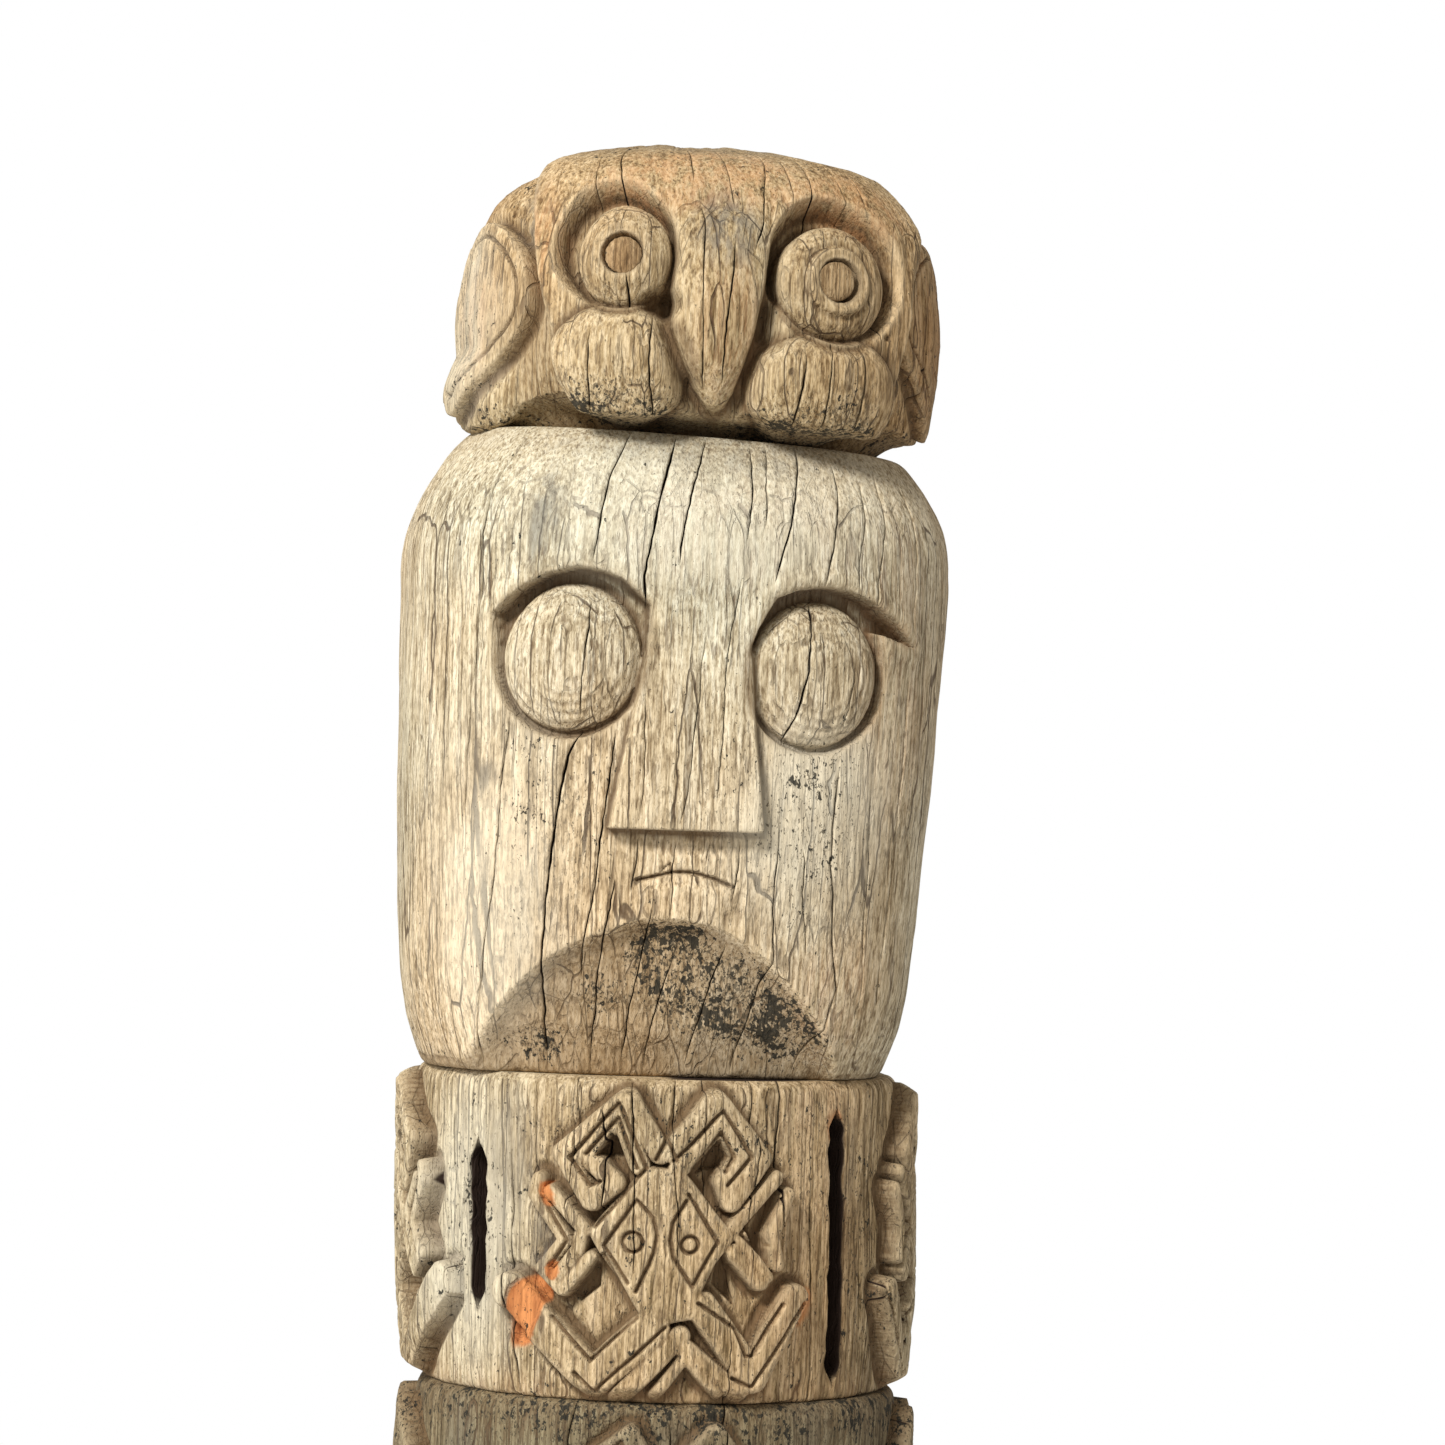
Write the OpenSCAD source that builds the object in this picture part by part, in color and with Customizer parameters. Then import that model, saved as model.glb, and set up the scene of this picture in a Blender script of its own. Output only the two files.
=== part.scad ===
// Carved wooden pole figure: an owl head on a long stylised face, on two carved drums and a foot.
// The pieces stack on loose tenons and pegs. +Z is up, the front faces -Y, and the origin is the
// middle of the foot's underside. Left means -X.

/* [Section heights] */
// Height of the plain foot plinth
plinth_h = 58; // [52:1:90]
// Height of the lower carved drum
lower_h = 154; // [125:1:200]
// Height of the drum with the framed motifs
band_h = 154; // [125:1:200]
// Height of the face block
face_h = 308; // [250:1:400]
// Height of the owl head
owl_h = 146; // [120:1:178]

/* [Face block] */
// Half width of the face block
face_half_w = 135; // [112:1:165]
// Half depth of the face block
face_half_d = 128; // [106:1:155]
// Squareness of the face block's section: 2 is an ellipse and 4 is nearly a square
face_power = 2.6; // [2.2:0.1:4]
// Radius of the face block where it meets the drum below
face_foot_r = 106; // [92:1:120]
// Height over which the face block swells out from its foot
face_foot_h = 140; // [60:5:150]
// Radius of the face block's flat top
face_top_r = 113; // [95:1:125]
// Height of the rounded shoulder of the face block
face_shoulder_h = 42; // [20:1:60]
// Radius of the domed eyes
eye_r = 36; // [28:1:42]
// Sideways distance of each eye from the middle
eye_x = 60; // [52:1:72]
// Height of the eyes above the face block's underside
eye_z = 196; // [170:1:215]
// How far the eyes stand out of their sockets
eye_dome = 7; // [3:0.5:10]
// Width of the groove around each eye
eye_groove = 6; // [3:0.5:9]
// Depth of the socket under the brow
socket_depth = 10; // [6:0.5:16]
// Half width of the nose at its bridge
nose_bridge_half_w = 24; // [14:1:30]
// Half width of the nose at its sharp bottom edge
nose_half_w = 36; // [26:1:46]
// Length of the nose
nose_len = 88; // [60:1:105]
// How far the bottom edge of the nose stands out
nose_out = 13; // [6:1:20]
// Height of the nose's bottom edge above the face block's underside
nose_z = 119; // [105:1:130]
// Half width of the mouth
mouth_half_w = 23; // [14:1:34]
// Height of the middle of the mouth above the face block's underside
mouth_z = 98; // [88:1:104]
// Rise of the mouth's middle over its corners
mouth_rise = 5; // [2:1:10]
// Width of the mouth's groove
mouth_groove = 2.5; // [1.5:0.5:5]
// Height of the chin ridge's peak above the face block's underside
chin_peak_z = 76; // [60:1:84]
// Height of the chin ridge's ends
chin_end_z = 18; // [8:1:30]
// Half width of the chin ridge
chin_half_w = 92; // [70:1:105]
// How far the chin falls back at the bottom
chin_depth = 20; // [8:1:30]

/* [Owl head] */
// Half width of the owl head
owl_half_w = 122; // [102:1:145]
// Half depth of the owl head
owl_half_d = 120; // [100:1:140]
// How far the owl head sits off to the right of the pole's axis
owl_shift = 8; // [0:1:12]
// Squareness of the owl head's section
owl_power = 2.4; // [2.1:0.1:3.5]
// Radius of the owl head's underside
owl_foot_r = 106; // [88:1:112]
// Height over which the owl head swells out from its underside
owl_foot_h = 38; // [20:1:50]
// Radius of the flat spot on top of the owl head
owl_top_r = 60; // [40:1:80]
// Height of the owl head's rounded crown
owl_crown_h = 52; // [30:1:60]
// Radius of the left eye disc
owl_eye_left_r = 25; // [20:1:28]
// Radius of the right eye disc
owl_eye_right_r = 28; // [22:1:31]
// Sideways place of the left eye disc, from the middle of the owl head
owl_eye_left_x = -46; // [-54:1:-40]
// Sideways place of the right eye disc, from the middle of the owl head
owl_eye_right_x = 53; // [46:1:62]
// Height of the left eye disc above the owl head's underside
owl_eye_left_z = 83; // [76:1:88]
// Height of the right eye disc above the owl head's underside
owl_eye_right_z = 75; // [68:1:82]
// How far the eye discs stand out of their sockets
owl_eye_dome = 8; // [4:0.5:10]
// Width of the socket's groove around an eye disc
owl_eye_groove = 5; // [3:0.5:8]
// Depth of the owl's eye sockets
owl_socket_depth = 12; // [6:0.5:16]
// Sideways place of the beak, from the middle of the owl head
beak_x = -2; // [-8:1:5]
// Half width of the brow where the beak starts
beak_top_half_w = 24; // [12:1:28]
// Half width of the beak's tip
beak_tip_half_w = 5; // [3:1:9]
// Length of the beak's ridge
beak_len = 106; // [80:1:114]
// How far the beak's tip stands out
beak_out = 9; // [4:1:16]
// Radius of the round cheeks
cheek_r = 29; // [22:1:33]
// How far the cheeks stand out
cheek_out = 7; // [3:0.5:12]
// Height of the middle of the cheeks above the owl head's underside
cheek_z = 33; // [30:1:38]
// Length of the leaf-shaped wing on each side
wing_len = 92; // [70:1:100]
// Width of the leaf-shaped wing
wing_w = 56; // [40:1:70]
// Direction of each wing, in degrees round from the front
wing_turn = 68; // [62:1:82]
// How far the wings stand out
wing_out = 5; // [2:0.5:8]

/* [Drums] */
// Radius of both drums at their underside
drum_foot_r = 115; // [108:1:132]
// Radius of both drums at their top lip
drum_top_r = 120; // [112:1:140]
// Height of the chamfer around a drum's top
lip_h = 5; // [2:1:9]
// How far the motifs stand out of a drum
relief = 12; // [4:1:16]
// Turn of the motifs and slots round the pole, in degrees from the front
drum_turn = -3; // [-20:1:20]
// Half width of a motif
motif_half_w = 74; // [58:1:80]
// Plain margin above and below a motif
motif_margin = 4; // [2:1:10]
// Width of the strips that a motif is made of
strip_w = 13; // [8:1:16]
// Width of the upright slots between the motifs
slot_w = 11; // [6:1:16]
// Depth of the upright slots
slot_depth = 34; // [15:1:40]
// Height of the upright slots
slot_h = 104; // [80:1:112]

/* [Foot plinth] */
// Radius of the foot plinth
plinth_r = 146; // [140:1:180]
// Height of the bevel around the plinth's top edge
plinth_bevel = 8; // [3:1:14]

/* [Joinery] */
// Radius of the loose tenons
tenon_r = 18; // [12:0.5:24]
// Length of the loose tenons
tenon_len = 80; // [60:1:96]
// Radius of the pegs that stop the sections turning
peg_r = 6; // [4:0.5:8]
// Length of those pegs
peg_len = 60; // [40:1:76]
// Sideways distance of each peg from the middle
peg_x = 68; // [50:1:76]
// Radial clearance of a tenon or peg in its bore
bore_gap = 0.1; // [0.05:0.05:0.3]
// Space left above a tenon or peg in the upper bore
end_gap = 2; // [1:0.5:5]
// Chamfer on the ends of the tenons and pegs
dowel_chamfer = 1.5; // [0.5:0.5:3]
// Radius of the owl's pupil plugs
pupil_r = 9.6; // [7:0.2:12]
// Length of the owl's pupil plugs
pupil_len = 24; // [14:1:32]
// How far a pupil plug stays below the top of its eye disc
pupil_sink = 1.5; // [0.5:0.5:3]
// Width of the ring that is opened around a pupil plug
pupil_ring = 2.6; // [1:0.2:4]

/* [Hidden] */

// Heights of the parting planes between the sections
lower_z = plinth_h;
band_z = lower_z + lower_h;
face_z = band_z + band_h;
owl_z = face_z + face_h;

section_sides = 72;
round_steps = 6;
curve_sides = 64;
// Cutters run past the surface that they cut by this much
over = 1;
// Added features reach this far into the block behind them
root = 20;
// The turned envelope clears the corners of the squarish section by this much
envelope_gap = 2;
motif_count = 4;
motif_turn = 360 / motif_count;

wood_owl = [0.72, 0.62, 0.46];
wood_face = [0.78, 0.72, 0.58];
wood_drum = [0.74, 0.68, 0.55];
wood_foot = [0.6, 0.52, 0.4];
wood_dowel = [0.8, 0.66, 0.45];

// Half depth of a squarish section at the sideways distance x
function section_y(x, half_w, half_d, power) =
    half_d * pow(1 - pow(abs(x) / half_w, power), 1 / power);

// Direction that the section's surface faces at x, in degrees from the front
function section_turn(x, half_w, half_d, power) =
    sign(x) * atan(half_d / half_w * pow(abs(x) / half_w, power - 1)
        * pow(1 - pow(abs(x) / half_w, power), 1 / power - 1));

// Distance from the axis to a squarish section's outline in the direction a
function section_r(a, half_w, half_d, power) =
    pow(pow(abs(sin(a)) / half_w, power) + pow(abs(cos(a)) / half_d, power), -1 / power);

function section_outline(half_w, half_d, power) = [
    for (i = [0:section_sides - 1])
        let (a = 360 * i / section_sides, r = section_r(a, half_w, half_d, power))
            [r * sin(a), -r * cos(a)]
];

// Side outline of a turned envelope that swells out of its foot and rounds over at its top
function envelope(foot_r, full_r, top_r, foot_h, top_h, height) = concat(
    [[0, 0]],
    [for (i = [0:round_steps]) let (a = 90 * i / round_steps)
        [foot_r + (full_r - foot_r) * sin(a), foot_h * (1 - cos(a))]],
    [for (i = [0:round_steps]) let (a = 90 * i / round_steps)
        [top_r + (full_r - top_r) * cos(a), height - top_h * (1 - sin(a))]],
    [[0, height]]
);

// A squarish column, trimmed by a turned envelope
module carved_column(half_w, half_d, power, foot_r, top_r, foot_h, top_h, height) {
    full_r = section_r(45, half_w, half_d, power) + envelope_gap;
    intersection() {
        linear_extrude(height) polygon(section_outline(half_w, half_d, power));
        rotate_extrude($fn = curve_sides)
            polygon(envelope(foot_r, full_r, top_r, foot_h, top_h, height));
    }
}

// Puts its children on a squarish section's front, with their +Z along the surface's normal
module on_section(x, z, half_w, half_d, power)
    translate([x, -section_y(x, half_w, half_d, power), z])
        rotate([90, 0, section_turn(x, half_w, half_d, power)])
            children();

module on_face(x, z) on_section(x, z, face_half_w, face_half_d, face_power) children();

module on_owl(x, z) on_section(x, z, owl_half_w, owl_half_d, owl_power) children();

// A flat front-view outline, extruded forwards from the plane y = -back
module front_plate(back, depth)
    translate([0, -back, 0]) rotate([90, 0, 0]) linear_extrude(depth) children();

// A flat side-view outline, extruded across x. Its first coordinate is y and its second is z
module side_plate(width)
    translate([-width / 2, 0, 0]) rotate([90, 0, 90]) linear_extrude(width) children();

// A low dome that starts inside the block and ends dome above the local zero
module dome(r, dome_h)
    rotate_extrude($fn = curve_sides)
        polygon(concat(
            [[0, -root], [r, -root]],
            [for (i = [0:round_steps]) let (a = 90 * i / round_steps)
                [r * cos(a), dome_h * sin(a)]]
        ));

// The bores for a tenon and two pegs, in the top (side 1) or the underside (side -1) of a section
module joint_bores(z, side) {
    gap = side > 0 ? 0 : end_gap;
    joint_bore(0, z, side, tenon_r + bore_gap, tenon_len / 2 + gap);
    for (x = [-peg_x, peg_x]) joint_bore(x, z, side, peg_r + bore_gap, peg_len / 2 + gap);
}

module joint_bore(x, z, side, r, depth)
    translate([x, 0, side > 0 ? z - depth : z - over])
        cylinder(r = r, h = depth + over, $fn = curve_sides);

// A round dowel that is centred on z = 0, with chamfered ends
module dowel(r, len)
    rotate_extrude($fn = curve_sides)
        polygon([
            [0, -len / 2], [r - dowel_chamfer, -len / 2], [r, -len / 2 + dowel_chamfer],
            [r, len / 2 - dowel_chamfer], [r - dowel_chamfer, len / 2], [0, len / 2]
        ]);

module tenon(z) color(wood_dowel) translate([0, 0, z]) dowel(tenon_r, tenon_len);

module pegs(z) color(wood_dowel) for (x = [-peg_x, peg_x]) translate([x, 0, z]) dowel(peg_r, peg_len);

module foot_plinth()
    color(wood_foot) difference() {
        rotate_extrude($fn = curve_sides)
            polygon([
                [0, 0], [plinth_r, 0], [plinth_r, plinth_h - plinth_bevel],
                [plinth_r - plinth_bevel, plinth_h], [0, plinth_h]
            ]);
        joint_bores(plinth_h, 1);
    }

// One raised strip of a motif, from a to b, with square ends
module strip(a, b)
    translate(a) rotate(atan2(b.y - a.y, b.x - a.x)) translate([-strip_w / 2, -strip_w / 2])
        square([norm(b - a) + strip_w, strip_w]);

module strips(points) for (i = [0:len(points) - 2]) strip(points[i], points[i + 1]);

// Half of a motif for a drum of the given height: a curled horn, a bent arm, a leg and half a body
module half_motif(height) {
    w = motif_half_w - strip_w / 2;
    h = height - 2 * motif_margin;
    horn = [
        [0, 0.8 * h], [0.26 * w, 0.96 * h], [0.66 * w, 0.79 * h], [0.42 * w, 0.64 * h],
        [0.28 * w, 0.71 * h]
    ];
    arm = [
        [0.4 * w, 0.5 * h], [0.64 * w, 0.38 * h], [0.8 * w, 0.45 * h], [0.62 * w, 0.56 * h],
        [0.82 * w, 0.7 * h]
    ];
    leg = [[0.08 * w, 0.31 * h], [0.44 * w, 0.09 * h], [w, 0.33 * h]];
    body = [[0, 0.82 * h], [0.42 * w, 0.53 * h], [0.22 * w, 0.28 * h], [0, 0.2 * h]];
    strips(horn);
    strips(arm);
    strips(leg);
    polygon(body);
}

module motif(height)
    translate([0, motif_margin]) {
        half_motif(height);
        mirror([1, 0]) half_motif(height);
    }

// The side outline of a drum, grown outwards by extra
function drum_outline(height, extra) = [
    [0, 0], [drum_foot_r + extra, 0], [drum_top_r + extra, height - lip_h],
    [drum_top_r + extra - lip_h, height], [0, height]
];

// A drum with the motif on its four sides, cut to the drum's own outline plus the relief
module carved_drum(height) {
    rotate_extrude($fn = curve_sides) polygon(drum_outline(height, 0));
    intersection() {
        rotate_extrude($fn = curve_sides) polygon(drum_outline(height, relief));
        for (i = [0:motif_count - 1]) rotate(drum_turn + motif_turn * i)
            front_plate(drum_foot_r - root, drum_top_r) motif(height);
    }
}

// The upright slots between the motifs, with round ends
module slots(height)
    for (i = [0:motif_count - 1]) rotate(drum_turn + motif_turn * (i + 0.5))
        translate([0, 0, height / 2]) front_plate(drum_foot_r - slot_depth, drum_top_r) {
            square([slot_w, slot_h - slot_w], center = true);
            for (side = [-1, 1]) translate([0, side * (slot_h - slot_w) / 2])
                circle(d = slot_w, $fn = curve_sides);
        }

module lower_drum()
    color(wood_drum) translate([0, 0, lower_z]) difference() {
        carved_drum(lower_h);
        joint_bores(0, -1);
        joint_bores(lower_h, 1);
    }

module motif_drum()
    color(wood_drum) translate([0, 0, band_z]) difference() {
        carved_drum(band_h);
        slots(band_h);
        joint_bores(0, -1);
        joint_bores(band_h, 1);
    }

// The socket around one eye, deepest under the brow
module eye_socket(side)
    on_face(side * eye_x, eye_z)
        translate([0, 0, -socket_depth]) cylinder(r = eye_r + eye_groove, h = 2 * root, $fn = curve_sides);

module face_eye(side)
    on_face(side * eye_x, eye_z) translate([0, 0, -socket_depth]) dome(eye_r, eye_dome + socket_depth / 2);

// The nose is flush at its bridge and stands out at its bottom edge
module nose()
    translate([0, 0, nose_z]) intersection() {
        front_plate(face_half_d - root, root + nose_out)
            polygon([
                [-nose_half_w, 0], [nose_half_w, 0],
                [nose_bridge_half_w, nose_len], [-nose_bridge_half_w, nose_len]
            ]);
        side_plate(2 * nose_half_w)
            polygon([
                [-face_half_d - nose_out, 0], [-face_half_d + root, 0],
                [-face_half_d + root, nose_len], [-face_half_d, nose_len]
            ]);
    }

// One half of the mouth, a straight groove that falls from the middle to the corner
module mouth_half(side)
    translate([0, 0, mouth_z]) front_plate(face_half_d - mouth_groove, root)
        polygon([
            [0, 0], [0, mouth_groove],
            [side * mouth_half_w, mouth_groove - mouth_rise], [side * mouth_half_w, -mouth_rise]
        ]);

// What is cut away below the chin ridge, so that the chin falls back towards its bottom edge
module chin_cut()
    intersection() {
        front_plate(face_half_d - root, 2 * root)
            polygon([
                [-chin_half_w, -over], [chin_half_w, -over], [chin_half_w, chin_end_z],
                [0, chin_peak_z], [-chin_half_w, chin_end_z]
            ]);
        side_plate(2 * chin_half_w)
            polygon([
                [-face_half_d - root, -over], [-face_half_d + chin_depth, -over],
                [-face_half_d, chin_peak_z], [-face_half_d - root, chin_peak_z]
            ]);
    }

module face_block()
    color(wood_face) translate([0, 0, face_z]) difference() {
        union() {
            difference() {
                carved_column(face_half_w, face_half_d, face_power, face_foot_r, face_top_r,
                    face_foot_h, face_shoulder_h, face_h);
                for (side = [-1, 1]) eye_socket(side);
                chin_cut();
                for (side = [-1, 1]) mouth_half(side);
            }
            for (side = [-1, 1]) face_eye(side);
            nose();
        }
        joint_bores(0, -1);
        joint_bores(face_h, 1);
    }

module owl_socket(x, z, r)
    on_owl(x, z) translate([0, 0, -owl_socket_depth])
        cylinder(r = r + owl_eye_groove, h = 2 * root, $fn = curve_sides);

module owl_eye(x, z, r)
    on_owl(x, z) translate([0, 0, -owl_socket_depth]) dome(r, owl_socket_depth + owl_eye_dome);

// Places its children at the outer end of a pupil's bore, with +Z out of the eye
module at_pupil(x, z) on_owl(x, z) translate([0, 0, owl_eye_dome - pupil_sink]) children();

// The bore of a pupil plug, opened to a ring at the surface of the eye disc
module pupil_bore(x, z)
    at_pupil(x, z) {
        translate([0, 0, -pupil_len])
            cylinder(r = pupil_r + bore_gap, h = pupil_len + root, $fn = curve_sides);
        translate([0, 0, -pupil_ring])
            cylinder(r1 = pupil_r + bore_gap, r2 = pupil_r + 2 * pupil_ring,
                h = 2 * pupil_ring, $fn = curve_sides);
    }

module pupil(x, z)
    color(wood_owl) at_pupil(x, z) translate([0, 0, -pupil_len / 2]) dowel(pupil_r, pupil_len);

// The ridge of the beak, from the brow down to the tip
module beak()
    translate([beak_x, 0, 0]) intersection() {
        front_plate(owl_half_d - root, root + beak_out)
            polygon([
                [-beak_tip_half_w, 0], [beak_tip_half_w, 0],
                [beak_top_half_w, beak_len], [-beak_top_half_w, beak_len]
            ]);
        side_plate(2 * beak_top_half_w)
            polygon([
                [-owl_half_d - beak_out, 0], [-owl_half_d + root, 0],
                [-owl_half_d + root, beak_len], [-owl_half_d, beak_len]
            ]);
    }

module cheek(x) on_owl(x, cheek_z) dome(cheek_r, cheek_out);

// A leaf-shaped wing on one side of the owl head, made by two crossing cylinders
module wing(side) {
    arc_r = (wing_len * wing_len + wing_w * wing_w) / (4 * wing_w);
    surface_r = section_r(wing_turn, owl_half_w, owl_half_d, owl_power);
    rotate(side * wing_turn) translate([0, root - surface_r, owl_h / 2]) rotate([90, 0, 0])
        intersection_for(edge = [-1, 1]) translate([edge * (arc_r - wing_w / 2), 0, 0])
            cylinder(r = arc_r, h = root + wing_out, $fn = curve_sides);
}

// Puts its children in the frame of the owl head, whose zero is the middle of its underside
module at_owl() translate([owl_shift, 0, owl_z]) children();

module owl_head()
    color(wood_owl) difference() {
        at_owl() {
            difference() {
                carved_column(owl_half_w, owl_half_d, owl_power, owl_foot_r, owl_top_r,
                    owl_foot_h, owl_crown_h, owl_h);
                owl_socket(owl_eye_left_x, owl_eye_left_z, owl_eye_left_r);
                owl_socket(owl_eye_right_x, owl_eye_right_z, owl_eye_right_r);
            }
            owl_eye(owl_eye_left_x, owl_eye_left_z, owl_eye_left_r);
            owl_eye(owl_eye_right_x, owl_eye_right_z, owl_eye_right_r);
            cheek(owl_eye_left_x);
            cheek(owl_eye_right_x);
            beak();
            for (side = [-1, 1]) wing(side);
        }
        at_owl() {
            pupil_bore(owl_eye_left_x, owl_eye_left_z);
            pupil_bore(owl_eye_right_x, owl_eye_right_z);
        }
        joint_bores(owl_z, -1);
    }

module owl_pupil_left() at_owl() pupil(owl_eye_left_x, owl_eye_left_z);

module owl_pupil_right() at_owl() pupil(owl_eye_right_x, owl_eye_right_z);

foot_plinth();
lower_drum();
motif_drum();
face_block();
owl_head();
owl_pupil_left();
owl_pupil_right();
tenon(lower_z);  // tenon_under_lower_drum
tenon(band_z);  // tenon_under_motif_drum
tenon(face_z);  // tenon_under_face
tenon(owl_z);  // tenon_under_owl
pegs(lower_z);  // pegs_under_lower_drum
pegs(band_z);  // pegs_under_motif_drum
pegs(face_z);  // pegs_under_face
pegs(owl_z);  // pegs_under_owl
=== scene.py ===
"""Looks of the carved pole figure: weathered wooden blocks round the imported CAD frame.

Lengths are in millimetres until a mesh is made. On a block, u is the distance round its outline
from the middle of the front, to the right, and z is the height above its underside.
"""

import math

import bpy
import numpy as np
from mathutils import Matrix, Vector


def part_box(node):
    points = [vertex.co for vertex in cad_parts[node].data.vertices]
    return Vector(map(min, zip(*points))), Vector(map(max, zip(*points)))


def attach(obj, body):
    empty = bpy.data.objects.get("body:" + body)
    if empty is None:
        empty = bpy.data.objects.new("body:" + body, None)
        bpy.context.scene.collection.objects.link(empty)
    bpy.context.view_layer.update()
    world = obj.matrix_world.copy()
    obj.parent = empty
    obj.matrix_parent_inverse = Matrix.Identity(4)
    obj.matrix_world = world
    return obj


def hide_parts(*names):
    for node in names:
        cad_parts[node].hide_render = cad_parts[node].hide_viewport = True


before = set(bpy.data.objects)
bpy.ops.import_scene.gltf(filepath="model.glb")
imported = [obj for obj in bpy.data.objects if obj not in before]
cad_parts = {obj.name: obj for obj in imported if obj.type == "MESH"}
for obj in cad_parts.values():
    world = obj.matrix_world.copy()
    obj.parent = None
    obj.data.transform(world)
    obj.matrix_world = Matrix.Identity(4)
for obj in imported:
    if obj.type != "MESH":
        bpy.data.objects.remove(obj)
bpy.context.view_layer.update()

MM = 0.001
TRIANGLES = 190000
MASKS = ("crack", "cavity_shade_and_dirt", "edge", "level", "stain", "mould", "fresh", "bleach", "grey", "warm")


def smooth(x, lo, hi):
    t = unit((x - lo) / (hi - lo))
    return t * t * (3 - 2 * t)


def along(knots, z):
    """The second value of (z, value) knots at the heights z."""
    points = sorted(knots)
    return np.interp(z, [p[0] for p in points], [p[1] for p in points])


def noise(u, v, cell_u, cell_v, length, seed):
    """Smooth noise from -1 to 1 that repeats after `length` along u."""
    across = max(4, int(round(length / cell_u)))
    y = (v - v.min()) / cell_v
    rows = int(y.max()) + 3
    grid = np.random.default_rng(seed).uniform(-1, 1, (rows, across))
    x = (u / length) % 1 * across
    i, j = np.floor(x).astype(int), np.floor(y).astype(int)
    fx, fy = smooth(x - i, 0, 1), smooth(y - j, 0, 1)
    left, right = i % across, (i + 1) % across
    low = grid[j, left] * (1 - fx) + grid[j, right] * fx
    high = grid[j + 1, left] * (1 - fx) + grid[j + 1, right] * fx
    return low * (1 - fy) + high * fy


def line_noise(v, cell, seed):
    """Angular noise from -1 to 1 along one axis."""
    knots = np.arange(v.min(), v.max() + 2 * cell, cell)
    return np.interp(v, knots, np.random.default_rng(seed).uniform(-1, 1, len(knots)))


def distance(u, z, points, closed=False):
    """The distance from each (u, z) to a line through the points."""
    ring = list(points) + ([points[0]] if closed else [])
    best = np.full(np.shape(u), 1e9)
    for (ax, ay), (bx, by) in zip(ring, ring[1:]):
        dx, dy = bx - ax, by - ay
        t = unit(((u - ax) * dx + (z - ay) * dy) / (dx * dx + dy * dy))
        best = np.minimum(best, np.hypot(u - ax - t * dx, z - ay - t * dy))
    return best


def inside(u, z, points):
    """The distance to a closed outline, above zero inside it."""
    within = np.zeros(np.shape(u), bool)
    for (ax, ay), (bx, by) in zip(points, list(points[1:]) + [points[0]]):
        crosses = (ay > z) != (by > z)
        with np.errstate(divide="ignore", invalid="ignore"):
            at = ax + (z - ay) * (bx - ax) / (by - ay if by != ay else 1e-9)
        within ^= crosses & (u < at)
    gap = distance(u, z, points, closed=True)
    return np.where(within, gap, -gap)


def rounded(points, times=2):
    """The closed outline with its corners cut, so that it reads as a curve."""
    for _ in range(times):
        cut = []
        for a, b in zip(points, points[1:] + points[:1]):
            cut.append((0.75 * a[0] + 0.25 * b[0], 0.75 * a[1] + 0.25 * b[1]))
            cut.append((0.25 * a[0] + 0.75 * b[0], 0.25 * a[1] + 0.75 * b[1]))
        points = cut
    return points


def blob(u, z, cu, cz, ru, rz, turn=0):
    """1 in the middle of an ellipse and 0 outside it."""
    c, s = math.cos(math.radians(turn)), math.sin(math.radians(turn))
    x, y = (u - cu) * c + (z - cz) * s, -(u - cu) * s + (z - cz) * c
    return 1 - smooth(np.hypot(x / ru, y / rz), 0.35, 1)


def blobs(u, z, *rows):
    """The sum of blobs, each given as (strength, and the rest of what blob takes)."""
    return sum(share * blob(u, z, *rest) for share, *rest in rows)


def bell(x, at, width):
    """1 where x is at, falling off to both sides."""
    return np.exp(-((x - at) / width) ** 2)


def unit(field):
    return np.clip(field, 0, 1)


def groove(gap, half_width, depth):
    """A rounded V groove along a line at distance gap."""
    return -depth * (1 - smooth(gap, 0, half_width))


# ---------------------------------------------------------------- blocks

NARROW_STEPS, BROAD_STEPS = 3, 14
# The front strip's share of the two strips' height on the map, and the gaps round strips and discs
FRONT_SHARE, MARGIN, CAP_GAP = 0.66, 0.012, 0.014
CAP_RINGS = (0.93, 0.8, 0.62, 0.42, 0.2)
CRACK_PROFILE = ((-1, 0), (-0.45, 0.45), (0, 1), (0.45, 0.45), (1, 0))
SLOT_PROFILE = ((-1, 0), (-0.94, 0.07), (-0.84, 0.93), (0, 1), (0.84, 0.93), (0.94, 0.07), (1, 0))


class Crack:
    """A line that the mesh follows, cut into it over some spans of height.

    knots are (z, u). spans are (lowest z, highest z, depth, half width).
    """

    def __init__(self, knots, spans, profile=CRACK_PROFILE, wander=1.0, ends=12.0):
        self.knots, self.spans, self.profile = knots, spans, profile
        self.wander, self.ends = wander, ends

    def place(self, z, seed):
        """The crack's u, depth and half width at the heights z."""
        u = along(self.knots, z)
        u = u + self.wander * (0.75 * line_noise(z, 15, seed) + 0.3 * line_noise(z, 3.5, seed + 1))
        rough = 1 + 0.35 * self.wander * line_noise(z, 7, seed + 2)
        uneven = 1 + 0.35 * self.wander * line_noise(z, 6, seed + 3)
        slim = 1.0 if self.profile is SLOT_PROFILE else 0.6
        depth, width = np.zeros_like(z), np.full_like(z, 0.32)
        for low, high, deep, half in self.spans:
            share = smooth(z, low, low + self.ends) * (1 - smooth(z, high - self.ends, high))
            depth = np.maximum(depth, deep * share * rough)
            width = np.maximum(width, slim * half * share * uneven)
        return u, depth, width


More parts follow.
